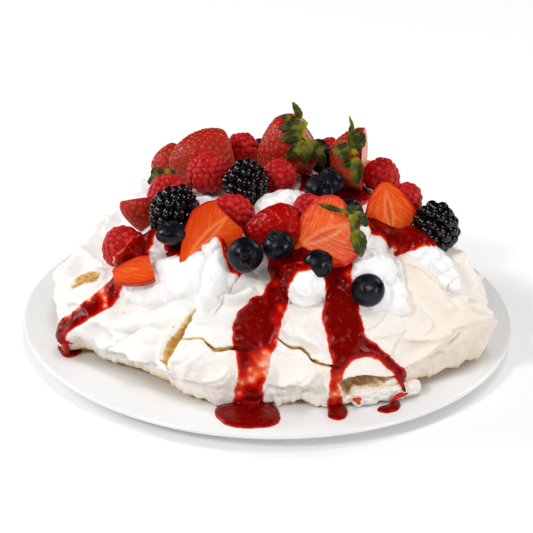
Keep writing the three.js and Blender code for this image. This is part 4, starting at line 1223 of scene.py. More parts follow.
class PAVLOVA_OT_plate(PavlovaOperator):
    """Spins the plate"""

    bl_idname = "pavlova.plate"
    bl_label = "Plate"

    def execute(self, context):
        sizes = context.scene.pavlova.plate
        radius, foot = sizes.radius / MM, sizes.foot / MM
        outline = [(0, 0)] + [(foot + out, height) for out, height in PLATE_FOOT]
        outline += [(radius - inset, height) for inset, height in PLATE_RIM]
        outline += [(40, PLATE_TOP), (0, PLATE_TOP)]
        bm = bmesh.new()
        chain = [bm.verts.new((r * MM, 0, z * MM)) for r, z in outline]
        edges = [bm.edges.new(pair) for pair in zip(chain, chain[1:])]
        full_turn = {"angle": 2 * math.pi, "steps": 180, "use_merge": True}
        bmesh.ops.spin(bm, geom=chain + edges, cent=(0, 0, 0), axis=(0, 0, 1), **full_turn)
        bmesh.ops.remove_doubles(bm, verts=bm.verts[:], dist=1e-6)
        finish_piece(outward(bm), "plate_glazed", [glazed_white()], ["plate"])
        return {"FINISHED"}


def front_biased(turn):
    """Azimuths whose columns lie closer together at the front, in degrees."""
    return (np.degrees(turn + 0.5 * np.sin(turn)) + 90) % 360


SHELL_CLIMBS = np.concatenate([np.linspace(90, 60, 12), np.linspace(60, 0, 126)[1:]])
UNDER_ROWS = 7
# Below its edge the shell turns in: how far, in mm, and the share of the edge's height left there.
UNDER_INSET = (0, 0.5, 2, 6, 10, 12, 12.5, 0)
UNDER_HEIGHT = (1, 0.62, 0.5, 0.52, 0.48, 0.25, 0, 0)
# The side where the shell is warmer, partly its own beige and partly painted shade away from the light: the
# azimuth of its middle, and its half width in degrees.
WARM_AND_SHADED_SIDE = (322, 38)


def shell_surface(azimuth, climb):
    """Points of the shell over the dome, with how golden and how warm they are, and torn low down."""
    points, height, gold = shell_relief(azimuth, climb)
    low = smooth((16 - climb) / 16)
    height = height + low * (1.1 * waves(points, 6, 12) + 0.7 * waves(points, 2.4, 13, 2))
    # Warmer on the right side, partly painted shade, and warmer towards the bottom.
    aside = (azimuth - WARM_AND_SHADED_SIDE[0] + 180) % 360 - 180
    right = np.exp(-((aside / WARM_AND_SHADED_SIDE[1]) ** 2))
    warm = 0.04 + 0.55 * right + 0.2 * smooth((30 - climb) / 30) + 0.2 * waves(points, 30, 14)
    points = points + height[:, None] * dome_normal(azimuth, climb)
    torn = smooth((10 - climb) / 10)
    edges, lifts = zip(*EDGE_LIFT)
    ragged = 1.9 * waves(points, 5, 15, 3) + waves(points, 2, 19, 2)
    points[:, 2] += torn * (np.interp(azimuth, edges, lifts, period=360) + ragged)
    return points, gold, warm


class PAVLOVA_OT_meringue(PavlovaOperator):
    """Makes the cracked and folded meringue shell"""

    bl_idname = "pavlova.meringue"
    bl_label = "Meringue"

    def execute(self, context):
        rows = len(SHELL_CLIMBS) + UNDER_ROWS

        def place(turn, down):
            azimuth = front_biased(turn)
            row = np.rint(down * rows).astype(int)
            climb = SHELL_CLIMBS[np.minimum(row, len(SHELL_CLIMBS) - 1)]
            azimuth = np.where(row == 0, 0.0, azimuth)
            points, gold, warm = shell_surface(azimuth, climb)
            under = row >= len(SHELL_CLIMBS)
            tuck = np.maximum(row - len(SHELL_CLIMBS) + 1, 0)
            base = PLATE_TOP + 0.2
            middle = np.array([*DOME_CENTRE, base])
            lift = np.maximum(points[:, 2] - base, 0)
            reach = points[:, :2] - middle[:2]
            distance = np.linalg.norm(reach, axis=1)
            inset = np.interp(tuck, range(UNDER_ROWS + 1), UNDER_INSET)
            kept = 1 - inset * np.minimum(lift / 6, 1.2) / np.maximum(distance, 1)
            kept = np.where(tuck >= UNDER_ROWS, 0, kept)
            drop = base + lift * np.interp(tuck, range(UNDER_ROWS + 1), UNDER_HEIGHT)
            tucked = np.concatenate([middle[:2] + reach * kept[:, None], drop[:, None]], 1)
            points = np.where(under[:, None], tucked, points)
            points[:, 2] = np.maximum(points[:, 2], base)
            # The underside is made warm and golden: partly the baked colour under the shell, partly painted
            # warm light that its bounce throws into the shade on the plate.
            warm = warm + 0.8 * under
            gold = np.where(under, 0.6, gold)
            return points, {"gold": gold, "warm": warm}

        bm = skin(context.scene.pavlova.shell.columns, rows, place)
        add_part(bm, shard_skin())
        finish_piece(bm, "meringue_shell", [baked_meringue()], ["meringue"])
        return {"FINISHED"}


def shard_skin():
    """A broken piece of shell with flat sides, which tapers to one end."""
    left, right = (np.array(end, float) for end in SHARD_ENDS)
    along = right - left
    across = unit(np.array([-along[1], along[0], 0.0]))
    up = unit(np.cross(along, across))

    def place(turn, down):
        half_width, half_height = (np.interp(down, (0, 1), sizes) for sizes in zip(*SHARD_HALF_SIZES))
        square = (np.abs(np.cos(turn)) ** 6 + np.abs(np.sin(turn)) ** 6) ** (-1 / 6)
        closed = np.minimum(1, np.sin(down * math.pi) / 0.22) ** 0.35
        points = left + down[:, None] * along
        points = points + (half_width * square * closed * np.cos(turn))[:, None] * across
        points = points + (half_height * square * closed * np.sin(turn))[:, None] * up
        rough = waves(points, 5, 31) + 0.5 * waves(points, 1.8, 32, 2)
        outwards = unit(points - left - np.clip(down, 0.1, 0.9)[:, None] * along)
        points = points + (rough * closed)[:, None] * outwards
        points[:, 2] = np.maximum(points[:, 2], PLATE_TOP + 0.1)
        broken = smooth(np.sin(turn) * square / 0.4 - 1.6)
        return points, {"gold": 0.22 * broken, "warm": 0.1 + 0.7 * broken}

    return skin(64, 72, place)


CREAM_CLIMBS = np.concatenate([np.linspace(90, 60, 22), np.linspace(60, 24, 62)[1:]])
CREAM_BACK = 40  # the height, inside the shell, where the back of the cream closes


class PAVLOVA_OT_cream(PavlovaOperator):
    """Spreads the whipped cream over the top"""

    bl_idname = "pavlova.cream"
    bl_label = "Cream"

    def execute(self, context):
        sizes = context.scene.pavlova.cream
        rows = len(CREAM_CLIMBS)

        def place(turn, down):
            azimuth = front_biased(turn)
            row = np.rint(down * rows).astype(int)
            climb = CREAM_CLIMBS[np.minimum(row, rows - 1)]
            azimuth = np.where(row == 0, 0.0, azimuth)
            on_shell, _, _ = shell_surface(azimuth, climb)
            height = cream_relief(azimuth, climb, sizes.thickness / MM)
            points = on_shell + height[:, None] * dome_normal(azimuth, climb)
            points[row == rows] = (*DOME_CENTRE, CREAM_BACK)
            stain = np.zeros(len(points))
            for outline in SAUCE_OUTLINES:
                field = outline_field(dome_point(azimuth, climb), azimuth, climb, outline)
                stain = np.maximum(stain, 0.45 * smooth(1 + field / 2))
            return points, {"stain": np.maximum(stain, lump_stain(points))}

        bm = skin(sizes.columns, rows, place)
        for i, dollop in enumerate(DOLLOPS):
            add_part(bm, dollop_skin(i, *dollop))
        finish_piece(bm, "cream_whipped", [whipped_cream()], ["cream"])
        return {"FINISHED"}


PINK_LUMP = (216, 51)  # the place of the lump of cream that sauce has coloured


def lump_stain(points):
    """How pink the cream is near that lump."""
    middle = dome_point(*PINK_LUMP) + 5 * dome_normal(*PINK_LUMP)
    return 0.5 * smooth(1.5 - np.linalg.norm(points - middle, axis=1) / 9)


def dollop_skin(index, at, out, half):
    """A lump of cream with soft creases."""
    normal = dome_normal(*at)
    turn_at = math.radians(at[0])
    across = np.array([-math.sin(turn_at), math.cos(turn_at), 0])
    sides = np.stack([across, np.cross(normal, across), normal])
    middle = dome_point(*at) + (out + 1) * normal

    def place(turn, down):
        local = ball(turn, down) * half
        spots = local * [1, 0.6, 1] + 30 * index
        crease = 2.6 * (0.3 - np.abs(waves(spots, 6.5, 8, 2)))
        crease += 0.7 * (0.3 - np.abs(waves(spots, 2.4, 16, 2)))
        points = middle + (local + crease[:, None] * ball(turn, down)) @ sides
        return points, {"stain": lump_stain(points)}

    return skin(60, 44, place)


# ------------------------------------------------------------------ operators: berries


# Shares of a drupelet's width: the steps from ring to ring and along a ring, and how deep the core lies.
RING_STEP = 0.80
DRUPELET_STEP = 0.90
CORE_INSET = 0.62
OPEN_END = -0.93  # no drupelets stand below this share of the half length, at the stalk end


def thimble(up):
    """A berry's radius as a share of its half width, wider towards the stalk end."""
    return np.sqrt(np.maximum(0, 1 - up * up)) * (1.04 - 0.14 * up)


def drupelet_places(size_along, width, bead, plump, place, seed):
    """Places of the drupelets of a berry, in rings from the tip to the open stalk end."""
    draw = np.random.default_rng(seed)
    half, radius = size_along / 2, width / 2
    inset = bead * (sum(plump) / 2 - 0.16)
    core_half, core_radius = half - inset, radius - inset
    steps = np.linspace(0, math.pi, 400)
    arc = lengths_along(np.stack([core_radius * thimble(np.cos(steps)), core_half * np.cos(steps)], 1))
    rings = max(3, round(arc[-1] / (RING_STEP * bead)))
    places = []
    for ring in range(rings):
        angle = np.interp((ring + 0.35) / rings * arc[-1] * 0.97, arc, steps)
        up = math.cos(angle)
        if up < OPEN_END:
            continue
        ring_radius = core_radius * float(thimble(up))
        count = max(1, round(2 * math.pi * ring_radius / (DRUPELET_STEP * bead)))
        for i in range(count):
            turn = 2 * math.pi * (i + 0.5 * (ring % 2) + draw.uniform(-0.13, 0.13)) / count
            rise = up + draw.uniform(-0.03, 0.03)
            point = np.array([ring_radius * math.cos(turn), ring_radius * math.sin(turn), core_half * rise])
            outwards = unit(point / np.array([core_radius, core_radius, core_half]) ** 2)
            grown = bead * draw.uniform(*plump)
            point = point + outwards * bead * draw.uniform(-0.08, 0.08)
            local = facing_place(point, outwards, np.array([0.02, 0, 1]), (grown, grown * 1.06, grown))
            places.append(place @ local)
    return places


def bead_berry(name, table_row, bead, plump, seed, material):
    """A berry of drupelets round a core. plump gives the drupelets' radii as shares of their spacing."""
    at, tip, size_along, width = table_row
    place = fruit_place(at, tip)
    drupelet = bmesh.new()
    bmesh.ops.create_icosphere(drupelet, subdivisions=2, radius=1)
    mesh = scattered(drupelet, drupelet_places(size_along, width, bead, plump, place, seed))
    drupelet.free()

    def core(turn, down):
        up = np.cos(down * math.pi)
        hollow = np.where(up < -0.7, (-0.7 - up) / 0.3, 0) ** 1.5
        radius = (width / 2 - CORE_INSET * bead) * thimble(up)
        height = (size_along / 2 - CORE_INSET * bead) * up + 0.42 * size_along * hollow
        local = np.stack([radius * np.cos(turn), radius * np.sin(turn), height], 1)
        # The core gets a low crown, so the raspberry finish paints it in the shade colour between the
        # drupelets.
        return moved(place, local), {"own": np.full(len(local), 0.3), "crown": np.full(len(local), -0.6)}

    bm = joined(skin(28, 18, core), mesh)
    finish_piece(bm, name + "_beads", [material], [name])


class PAVLOVA_OT_dark_berries(PavlovaOperator):
    """Makes the glossy dark berries"""

    bl_idname = "pavlova.dark_berries"
    bl_label = "Dark berries"

    def execute(self, context):
        bead = context.scene.pavlova.fruit.dark_bead / MM
        for seed, (name, row) in enumerate(DARK_BERRIES.items()):
            bead_berry(name, row, bead, (0.47, 0.54), seed, dark_berry_flesh())
        return {"FINISHED"}


class PAVLOVA_OT_raspberries(PavlovaOperator):
    """Makes the raspberries"""

    bl_idname = "pavlova.raspberries"
    bl_label = "Raspberries"

    def execute(self, context):
        bead = context.scene.pavlova.fruit.raspberry_bead / MM
        for seed, (name, row) in enumerate(RASPBERRIES.items()):
            bead_berry(name, row, bead, (0.68, 0.80), 40 + seed, raspberry_flesh())
        return {"FINISHED"}


class PAVLOVA_OT_blueberries(PavlovaOperator):
    """Makes the blueberries, each with its crown or its scar"""

    bl_idname = "pavlova.blueberries"
    bl_label = "Blueberries"

    def execute(self, context):
        for seed, (name, (at, tip, size_along, width)) in enumerate(BLUEBERRIES.items()):
            place = fruit_place(at, tip)
            scarred = name == SCARRED_BLUEBERRY

            def body(turn, down):
                local = ball(turn, down) * [width / 2, width / 2, size_along / 2]
                radius = np.sin(down * math.pi)
                star = 1 + 0.22 * np.cos(5 * turn + seed)
                top = (down < 0.5) & (radius < 0.6)
                if scarred:
                    dent = np.exp(-((radius / 0.2) ** 2)) * top
                    local[:, 2] -= 0.09 * size_along * dent
                    scar = np.exp(-((radius / 0.14) ** 4)) * top
                else:
                    rim = np.exp(-(((radius - 0.30 * star) / 0.085) ** 2)) * top
                    dish = smooth((0.30 * star - radius) / 0.14) * top
                    local[:, 2] += size_along * (0.085 * rim - 0.16 * dish)
                    scar = 0.25 * dish
                local = local * (1 + 0.025 * waves(local + 40 * seed, 9, seed, 2))[:, None]
                return moved(place, local), {"scar": scar}

            finish_piece(skin(72, 56, body), name + "_round", [blueberry_skin()], [name])
        return {"FINISHED"}


# ------------------------------------------------------------------ operators: strawberries


# How deep a seed's dimple is, a seed's half sizes, and how far a seed sinks in, all in mm.
DIMPLE_DEPTH = 0.75
SEED_HALF_SIZES = (0.42, 0.75, 0.34)
SEED_SUNK = 0.25


def fullness(up, narrowing):
    """How wide a strawberry is at a height: round at the tip, square at the shoulder."""
    down = np.arccos(np.clip(up, -1, 1))
    girth = np.where(up < 0, np.sin(down) ** 0.4, np.sin(down))
    return 1.06 * (1 - narrowing * np.clip(up, -0.3, 1)) * girth


def outwards_of(points, half_sizes):
    """The directions that the surface of a round body of these half sizes faces at its points."""
    return unit(points / half_sizes**2 + np.array([0, 0, 1e-4]))


def strawberry_skin_point(up, turn, size_along, width, depth, narrowing):
    """Points on a strawberry's skin in its own frame."""
    down = np.arccos(np.clip(up, -1, 1))
    girth = fullness(up, narrowing)
    dent = 0.07 * size_along * np.exp(-((np.sin(down) / 0.3) ** 2)) * (up < 0)
    return np.stack([
        width / 2 * girth * np.cos(turn), depth * girth * np.sin(turn), size_along / 2 * up + dent
    ], -1)


def strawberry(name, at, tip, face, size_along, width, depth, cuts, seed):
    """A strawberry with seeds in dimples. Each cut flattens what lies in front of its plane."""
    narrowing = OTHER_TAPERS.get(name, TAPER)
    place = fruit_place(at, tip, face)
    spacing = settings().fruit.seed_spacing / MM
    half_sizes = np.array([width / 2, depth, size_along / 2])
    area = math.pi * size_along * (width / 2 + depth) * 0.86
    count = int(area / (0.87 * spacing**2))
    index = np.arange(count)
    seed_up = 1 - 2 * (index + 0.5) / count
    seed_turn = (GOLDEN_TURN * index) % (2 * math.pi)
    wobble = np.random.default_rng(seed).normal(0, 0.035, (2, count))
    seed_up = np.clip(seed_up + wobble[0], -0.97, 0.985)
    shape = (size_along, width, depth, narrowing)
    seeds = strawberry_skin_point(seed_up, seed_turn + wobble[1], *shape)
    ahead = strawberry_skin_point(np.clip(seed_up + 0.02, -1, 1), seed_turn, *shape)
    normals = outwards_of(seeds, half_sizes)
    planes = [(np.array(facing, float), share * size_along) for facing, share in cuts]
    shown = np.ones(count, bool)
    for facing, offset in planes:
        shown &= seeds @ facing - offset < -0.9

    def body(turn, down):
        up = np.cos(down * math.pi)
        local = strawberry_skin_point(up, turn, *shape)
        bulge = 1 + 0.03 * waves(local + 50 * seed, 14, seed, 2)
        local[:, :2] *= bulge[:, None]
        nearest = np.full(len(local), np.inf)
        for point in seeds[shown]:
            nearest = np.minimum(nearest, ((local - point) ** 2).sum(1))
        dimple = np.exp(-nearest)
        local = local - DIMPLE_DEPTH * dimple[:, None] * outwards_of(local, half_sizes)
        for facing, offset in planes:
            local -= np.maximum(local @ facing - offset, 0)[:, None] * facing
        berry = local / half_sizes
        ring = np.hypot(berry[:, 0], berry[:, 1]) / np.maximum(fullness(up, narrowing), 1e-3)
        berry[:, 0] += 1.2 * (name == CORELESS)
        ends = smooth((np.abs(up) - 0.80) / 0.2)
        return moved(place, local), {
            "berry": berry, "dimple": dimple, "ring": np.maximum(ring, 0.999 * ends),
            "own": 0 * up + RIPENESS.get(name, USUAL_RIPENESS), "depth": 0 * up + 1.1,
        }

    bm = skin(132, 96, body)
    if cuts:
        for face_piece in bm.faces:
            centre = np.array(face_piece.calc_center_median()) / MM
            local = (centre - place[:3, 3]) @ place[:3, :3]
            if any(local @ facing - offset > -0.02 for facing, offset in planes):
                face_piece.material_index = 1
    seed_shape = bmesh.new()
    bmesh.ops.create_icosphere(seed_shape, subdivisions=1, radius=1)
    places = [
        place @ facing_place(point - SEED_SUNK * normal, normal, forward - point, SEED_HALF_SIZES)
        for point, normal, forward, keep in zip(seeds, normals, ahead, shown)
        if keep
    ]
    glazed = name == GLAZED_CHUNK
    if places and not glazed:
        joined(bm, scattered(seed_shape, places, 2))
    seed_shape.free()
    sharpen(bm)
    materials = [strawberry_skin(), strawberry_flesh(), strawberry_seed()]
    if glazed:
        materials = [berry_sauce()] * 2
    finish_piece(bm, name + "_ripe", materials, [name])


class PAVLOVA_OT_whole_strawberries(PavlovaOperator):
    """Makes the whole strawberries"""

    bl_idname = "pavlova.whole_strawberries"
    bl_label = "Whole strawberries"

    def execute(self, context):
        for seed, (name, (at, tip, face, size_along, width)) in enumerate(WHOLE_STRAWBERRIES.items()):
            strawberry(name, at, tip, face, size_along, width, width / 2, [], seed)
        return {"FINISHED"}


class PAVLOVA_OT_cut_strawberries(PavlovaOperator):
    """Makes the halves, slices and wedges of strawberry"""

    bl_idname = "pavlova.cut_strawberries"
    bl_label = "Cut strawberries"

    def execute(self, context):
        for seed, (name, (at, tip, face, size_along, width, depth)) in enumerate(CUT_STRAWBERRIES.items()):
            cuts = OTHER_CUTS.get(name, HALVED)
            strawberry(name, at, tip, face, size_along, width, depth, cuts, 20 + seed)
        return {"FINISHED"}


class PAVLOVA_OT_leaves(PavlovaOperator):
    """Makes the leafy caps of the strawberries"""

    bl_idname = "pavlova.leaves"
    bl_label = "Leaves"

    def execute(self, context):
        draw = np.random.default_rng(3)
        for name, (facing, hub, leaves) in CALYXES.items():
            out = heading(*facing)
            whole = bmesh.new()
            parts = [
                leaf_blade(np.array(root), np.array(tip), half, out, draw) for root, tip, half in leaves
            ]
            if name == STALKED_CALYX:
                parts.append(stalk_skin())
            else:
                parts.append(leaf_knob(hub or leaves[0][0], out))
            for part in parts:
                add_part(whole, part)
            finish_piece(whole, name + "_leaves", [leaf_green()], [name])
        return {"FINISHED"}


def stalk_skin():
    """A thin curved stalk."""
    stops = np.array(STALK, float)

    def place(turn, down):
        at = np.stack([np.interp(down, np.linspace(0, 1, len(stops)), stops[:, i]) for i in range(3)], 1)
        radius = STALK_RADIUS * np.sin(down * math.pi) ** 0.3
        points = at + np.stack([radius * np.cos(turn), radius * np.sin(turn), 0 * turn], 1)
        return points, {"leaf": np.tile([0, 0.9, 0], (len(points), 1))}

    return skin(14, 40, place)


def leaf_knob(hub, out):
    """The round middle of a cap."""

    def knob(turn, down):
        lobes = 1 + 0.12 * np.cos(5 * turn)
        local = ball(turn, down) * KNOB_HALF_SIZES * np.stack([lobes, lobes, 0 * lobes + 1], 1)
        place = facing_place(hub, out, np.array([0.3, 0.2, 1.0]))
        return moved(place, local), {"leaf": np.tile([1, 0.9, 0], (len(local), 1))}

    return skin(20, 12, knob)


def leaf_blade(root, tip, half_width, out, draw):
    """A pointed leaf that arches from its root to its tip, folded along its rib, with wavy edges."""
    reach = tip - root
    side = unit(np.cross(reach, out))
    lift = unit(np.cross(side, reach))
    span = float(np.linalg.norm(reach))
    bow = draw.uniform(0.10, 0.20)
    twist = draw.uniform(-0.5, 0.5)
    phase = draw.uniform(0, 6)
    bm = bmesh.new()
    bmesh.ops.create_grid(bm, x_segments=12, y_segments=26, size=1)
    corners = np.array([v.co[:2] for v in bm.verts])
    u, v = corners[:, 0], (corners[:, 1] + 1) / 2
    width = half_width * np.maximum((1 - np.abs(2 * v**0.8 - 1) ** 2.6) ** 0.75, 0.05)
    teeth = 1 + 0.06 * np.sin(v * 30 + phase) * (v > 0.3)
    angle = twist * v
    across = u * width * teeth
    fold = 0.22 * np.abs(across) + 0.2 * half_width * np.sin(v * 8 + phase) * u**2
    arch = bow * span * np.sin(math.pi * v) - 0.06 * span * v**2
    rise = arch + fold * np.cos(angle) + across * np.sin(angle)
    points = root + v[:, None] * reach + (across * np.cos(angle))[:, None] * side + rise[:, None] * lift
    store(bm, points, {"leaf": np.stack([u, np.maximum(0, 1 - v / 0.22), v], 1)})
    bmesh.ops.recalc_face_normals(bm, faces=bm.faces[:])
    bmesh.ops.solidify(bm, geom=bm.faces[:], thickness=LEAF_THICKNESS * MM)
    return outward(bm)


# ------------------------------------------------------------------ operators: sauce


def nearest_hits(points, directions, trees, reach):
    """How far out from each point the outermost of the trees' surfaces lies, in mm."""
    heights = np.full(len(points), np.nan)
    for i, (point, direction) in enumerate(zip(points * MM, directions)):
        start = Vector(point + direction * reach * MM)
        for tree in trees:
            hit = tree.ray_cast(start, Vector(-direction), 2 * reach * MM)
            if hit[0] is not None:
                height = reach - hit[3] / MM
                heights[i] = height if np.isnan(heights[i]) else max(heights[i], height)
    return heights


def tree_of(name):
    """A search tree over a piece's faces."""
    mesh = bpy.data.objects[name].data
    corners = [v.co for v in mesh.vertices]
    return BVHTree.FromPolygons(corners, [tuple(face.vertices) for face in mesh.polygons])


# The sheet that the sauce is cut from: its azimuths, its columns and rows, and its top climb.
SAUCE_SECTOR = (180.0, 480.0)
SAUCE_STEPS = (760, 190)
SAUCE_TOP = 86.0
# How far the sheet goes on past the sauce's edge, how deep its back lies in what it covers, how far out
# that is looked for, and how often its dips are eased.
SAUCE_MARGIN = 1.4
SAUCE_BACK = 1.6
GROUND_REACH = 30
EASE_ROUNDS = 14
DRAPED_FRUIT = ["raspberry_5_beads"]  # sauce lies over this fruit too


def blended(a, b, reach):
    """The larger of two fields, with a round joint."""
    h = np.clip(0.5 + 0.5 * (b - a) / reach, 0, 1)
    return a * (1 - h) + b * h + reach * h * (1 - h)


def sauce_field(points, azimuth, climb):
    """How far inside the sauce each point lies, in mm."""
    field = np.full(len(points), -9.0)
    for outline in SAUCE_OUTLINES:
        field = np.maximum(field, outline_field(points, azimuth, climb, outline))
    for path in SPILLS:
        near, distance, share = near_path(points, path, 12)
        width = np.interp(share, np.linspace(0, 1, len(path)), [stop[2] for stop in path])
        field[near] = blended(field[near], width - np.abs(distance), 1.0)
    return field + 0.75 * waves(points, 4.5, 21, 3)


class PAVLOVA_OT_sauce(PavlovaOperator):
    """Pours the sauce over the shell, the cream and the fruit, and its pools on the plate"""

    bl_idname = "pavlova.sauce"
    bl_label = "Sauce"

    def execute(self, context):
        thickness = context.scene.pavlova.sauce.thickness / MM
        bm = bmesh.new()
        columns, rows = SAUCE_STEPS
        bmesh.ops.create_grid(bm, x_segments=columns, y_segments=rows, size=1)
        shares = (np.array([v.co[:2] for v in bm.verts]) + 1) / 2
        azimuth = (SAUCE_SECTOR[0] + shares[:, 0] * (SAUCE_SECTOR[1] - SAUCE_SECTOR[0])) % 360
        climb = shares[:, 1] * SAUCE_TOP
        points = dome_point(azimuth, climb)
        field = sauce_field(points, azimuth, climb)
        kept = field > -SAUCE_MARGIN
        bmesh.ops.delete(bm, geom=[v for v, keep in zip(bm.verts, kept) if not keep], context="VERTS")
        azimuth, climb, points, field = azimuth[kept], climb[kept], points[kept], field[kept]
        normals = dome_normal(azimuth, climb)
        trees = [tree_of(name) for name in ["meringue_shell", "cream_whipped"] + DRAPED_FRUIT]
        ground = np.nan_to_num(nearest_hits(points, normals, trees, GROUND_REACH))
        eased = self.eased(bm, ground)
        film = np.ones(len(points))
        for spot, radius, share in THIN_SPOTS:
            distance = np.linalg.norm(points - dome_point(*spot), axis=1)
            film *= 1 - share * np.exp(-((distance / radius) ** 2) * 1.2)
        level = ground + np.maximum(eased - ground, 0) * film
        strands = np.stack([1.8 * azimuth + 0.5 * climb, 0.45 * climb, 0 * climb], 1)
        flow = 1 + 0.18 * waves(strands, 4.5, 22, 2)
        rounded = thickness * (1 - np.exp(-field / 1.8)) * film * flow
        depth = np.where(field > 0, rounded, 1.1 * field)
        surface = np.where(field > 0, level, ground) + depth
        store(bm, points + surface[:, None] * normals, {"depth": surface - ground})
        self.close_under(bm, points + (np.minimum(ground, surface) - SAUCE_BACK)[:, None] * normals)
        for outline in POOLS:
            add_part(bm, pool_skin(outline))
        for at, half_length, half_width, turn in SMEARS:
            add_part(bm, smear_skin(at, half_length, half_width, turn))
        for top_end, low_end, half_width in FALLS:
            add_part(bm, fall_skin(top_end, low_end, half_width))
        finish_piece(bm, "sauce_runs", [berry_sauce()])
        return {"FINISHED"}

    def eased(self, bm, ground):
        """The ground with its dips filled, as thick sauce lies over them."""
        bm.verts.index_update()
        links = np.array([[v.index for v in edge.verts] for edge in bm.edges])
        count = np.bincount(links.ravel(), minlength=len(ground)) + 1
        level = ground.copy()
        for _ in range(EASE_ROUNDS):
            total = level.copy()
            np.add.at(total, links[:, 0], level[links[:, 1]])
            np.add.at(total, links[:, 1], level[links[:, 0]])
            level = total / count
        return level

    def close_under(self, bm, lower):
        """Gives the open sheet of sauce a back that lies inside what it covers."""
        order = {tuple(round(c, 7) for c in v.co): i for i, v in enumerate(bm.verts)}
        made = bmesh.ops.extrude_face_region(bm, geom=bm.faces[:])["geom"]
        for vertex in [item for item in made if isinstance(item, bmesh.types.BMVert)]:
            vertex.co = (lower[order[tuple(round(c, 7) for c in vertex.co)]] * MM).tolist()
        bmesh.ops.delete(bm, geom=[v for v in bm.verts if not v.link_faces], context="VERTS")
        outward(bm)


def pool_skin(outline):
    """A pool on the plate with a rounded edge."""
    stops = np.array(smooth_loop(outline))
    middle = stops.mean(0)

    def place(turn, down):
        radius = np.sin(down * math.pi)
        t = turn / (2 * math.pi) * (len(stops) - 1)
        edge = np.stack([np.interp(t, range(len(stops)), stops[:, i]) for i in (0, 1)], 1)
        ragged = 1 + 0.05 * waves(np.concatenate([edge, 0 * edge[:, :1]], 1), 5, 24, 2)
        spread = middle + (radius * ragged)[:, None] * (edge - middle)
        rise = np.where(down < 0.5, POOL_HEIGHT * (1 - radius**6) ** 0.5, -0.3 * (1 - radius**4))
        points = np.concatenate([spread, (PLATE_TOP + rise)[:, None]], 1)
        points[:, 2] += 0.5 * waves(points, 4, 23, 2) * (down < 0.5) * (1 - radius**4)
        return points, {"depth": np.where(down < 0.5, 0.2 + rise * 1.15, 1.5)}

    return skin(96, 44, place)


def smooth_loop(outline, steps=8):
    """A closed smooth curve through places on a plane."""
    stops = [np.array(stop, float) for stop in outline]
    curve = curve_through(stops[-1:] + stops + stops[:2], steps)
    return curve + curve[:1]


def smear_skin(at, half_length, half_width, slant):
    """A thin flat smear that faces the front."""
    cosine, sine = math.cos(math.radians(slant)), math.sin(math.radians(slant))

    def place(turn, down):
        radius = np.sin(down * math.pi) * (1 + 0.25 * np.sin(3 * turn + at[0]))
        x = half_length * radius * np.cos(turn)
        z = half_width * radius * np.sin(turn)
        y = -0.9 * np.cos(down * math.pi)
        points = np.stack([cosine * x - sine * z, y, sine * x + cosine * z], 1) + at
        return points, {"depth": 0 * down + 0.5}

    return skin(32, 16, place)


def fall_skin(top_end, low_end, half_width):
    """A flat run that hangs from the rim to the plate."""
    top_end, low_end = np.array(top_end, float), np.array(low_end, float)
    outwards = unit(np.array([top_end[0], top_end[1], 0.0]))
    across = np.array([-outwards[1], outwards[0], 0.0])

    def place(turn, down):
        radius = np.sin(down * math.pi) ** 0.4
        wide = half_width * (1 - 0.25 * np.sin(down * math.pi)) * radius * np.cos(turn)
        thick = 1.8 * radius * np.sin(turn)
        points = top_end + down[:, None] * (low_end - top_end)
        points = points + wide[:, None] * across + thick[:, None] * outwards
        return points, {"depth": 0.7 + 0.9 * down}

    return skin(32, 24, place)


# ------------------------------------------------------------------ operators: stage

CAMERA_ELEVATION = 25.3
CAMERA_ROLL = 1.23
CAMERA_DISTANCE = 700.0
CAMERA_AIM = (-1.2, 0.0, 31.3)
CAMERA_LENS = 92.46
# Square lights: place in metres, size, power, and whether glossy surfaces show them.
LIGHTS = {
    "key": ((-2.5, 0.9, 1.4), 1.0, 40, True),
    "overhead": ((0.4, -0.3, 3.2), 0.9, 22, False),
    "fill": ((-1.8, -1.7, 2.0), 0.4, 36, True),
    "side": ((2.1, -1.7, 1.0), 0.6, 22, True),
    "right_back": ((1.9, 1.2, 1.6), 0.9, 14, True),
    "left_spark": ((-0.7, -1.4, 2.6), 0.1, 2.0, True),
    "right_spark": ((1.1, -1.2, 2.4), 0.1, 2.0, True),
}
LIT_PLACE = (0, 0, 0.04)
ROOM_LIGHT = 0.37


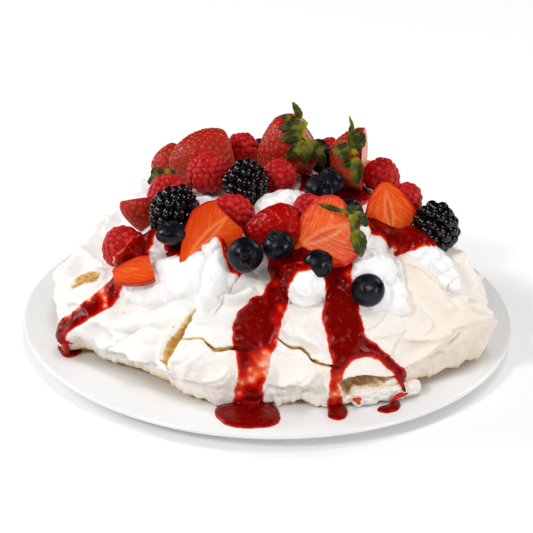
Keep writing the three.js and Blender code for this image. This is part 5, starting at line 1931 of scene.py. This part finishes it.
class PAVLOVA_OT_stage(PavlovaOperator):
    """Sets the pale floor, the soft lights and the camera"""

    bl_idname = "pavlova.stage"
    bl_label = "Stage"

    def execute(self, context):
        bm = bmesh.new()
        bmesh.ops.create_grid(bm, x_segments=8, y_segments=8, size=4)
        mesh = bpy.data.meshes.new("floor")
        bm.to_mesh(mesh)
        bm.free()
        mesh.materials.append(floor_paper())
        floor = bpy.data.objects.new("floor", mesh)
        context.scene.collection.objects.link(floor)
        for name, (place, size, power, mirrored) in LIGHTS.items():
            self.light(name, place, size, power, mirrored)
        world = bpy.data.worlds.new("soft_room")
        world.use_nodes = True
        room = world.node_tree.nodes["Background"].inputs
        room["Color"].default_value = (1, 1, 1, 1)
        room["Strength"].default_value = ROOM_LIGHT
        context.scene.world = world
        world.cycles_visibility.glossy = False
        context.scene.view_settings.view_transform = "Standard"
        self.camera(context)
        return {"FINISHED"}

    def light(self, name, place, size, power, mirrored):
        """A soft square light that faces the pavlova."""
        data = bpy.data.lights.new(name, "AREA")
        data.size = size
        data.energy = power
        lamp = bpy.data.objects.new(name, data)
        lamp.location = place
        lamp.visible_glossy = mirrored
        lamp.rotation_euler = (Vector(place) - Vector(LIT_PLACE)).to_track_quat("Z", "Y").to_euler()
        bpy.context.scene.collection.objects.link(lamp)

    def camera(self, context):
        """The camera in front, a little above, with a slight roll."""
        elevation = math.radians(CAMERA_ELEVATION)
        back = Vector((0, -math.cos(elevation), math.sin(elevation)))
        data = bpy.data.cameras.new("camera")
        data.lens = CAMERA_LENS
        data.clip_start = 0.05
        camera = bpy.data.objects.new("camera", data)
        tilt = Matrix.Rotation(math.pi / 2 - elevation, 4, "X")
        roll = Matrix.Rotation(math.radians(CAMERA_ROLL), 4, "Z")
        place = (Vector(CAMERA_AIM) + back * CAMERA_DISTANCE) * MM
        camera.matrix_world = Matrix.Translation(place) @ (tilt @ roll)
        context.scene.collection.objects.link(camera)
        context.scene.camera = camera


class PAVLOVA_PT_panel(bpy.types.Panel):
    """Lists the pieces of the pavlova"""

    bl_label = "Pavlova"
    bl_idname = "PAVLOVA_PT_panel"
    bl_space_type = "VIEW_3D"
    bl_region_type = "UI"
    bl_category = "Pavlova"

    def draw(self, context):
        for operator in OPERATORS:
            self.layout.operator(operator.bl_idname)
        for group in ("plate", "shell", "cream", "sauce", "fruit"):
            box = self.layout.box()
            part = getattr(context.scene.pavlova, group)
            for name in part.__annotations__:
                box.prop(part, name)


OPERATORS = (
    PAVLOVA_OT_plate,
    PAVLOVA_OT_meringue,
    PAVLOVA_OT_cream,
    PAVLOVA_OT_dark_berries,
    PAVLOVA_OT_raspberries,
    PAVLOVA_OT_blueberries,
    PAVLOVA_OT_whole_strawberries,
    PAVLOVA_OT_cut_strawberries,
    PAVLOVA_OT_leaves,
    PAVLOVA_OT_sauce,
    PAVLOVA_OT_stage,
)
GROUPS = (PavlovaPlate, PavlovaShell, PavlovaCream, PavlovaSauce, PavlovaFruit, PavlovaSettings)


def register():
    """Registers the groups, the operators and the panel."""
    for item in GROUPS + OPERATORS + (PAVLOVA_PT_panel,):
        bpy.utils.register_class(item)
    bpy.types.Scene.pavlova = PointerProperty(type=PavlovaSettings)


def unregister():
    """Takes them all out again."""
    del bpy.types.Scene.pavlova
    for item in reversed(GROUPS + OPERATORS + (PAVLOVA_PT_panel,)):
        bpy.utils.unregister_class(item)


def main():
    """Builds every piece in order."""
    register()
    for operator in OPERATORS:
        group, name = operator.bl_idname.split(".")
        getattr(getattr(bpy.ops, group), name)()


if __name__ == "__main__":
    main()
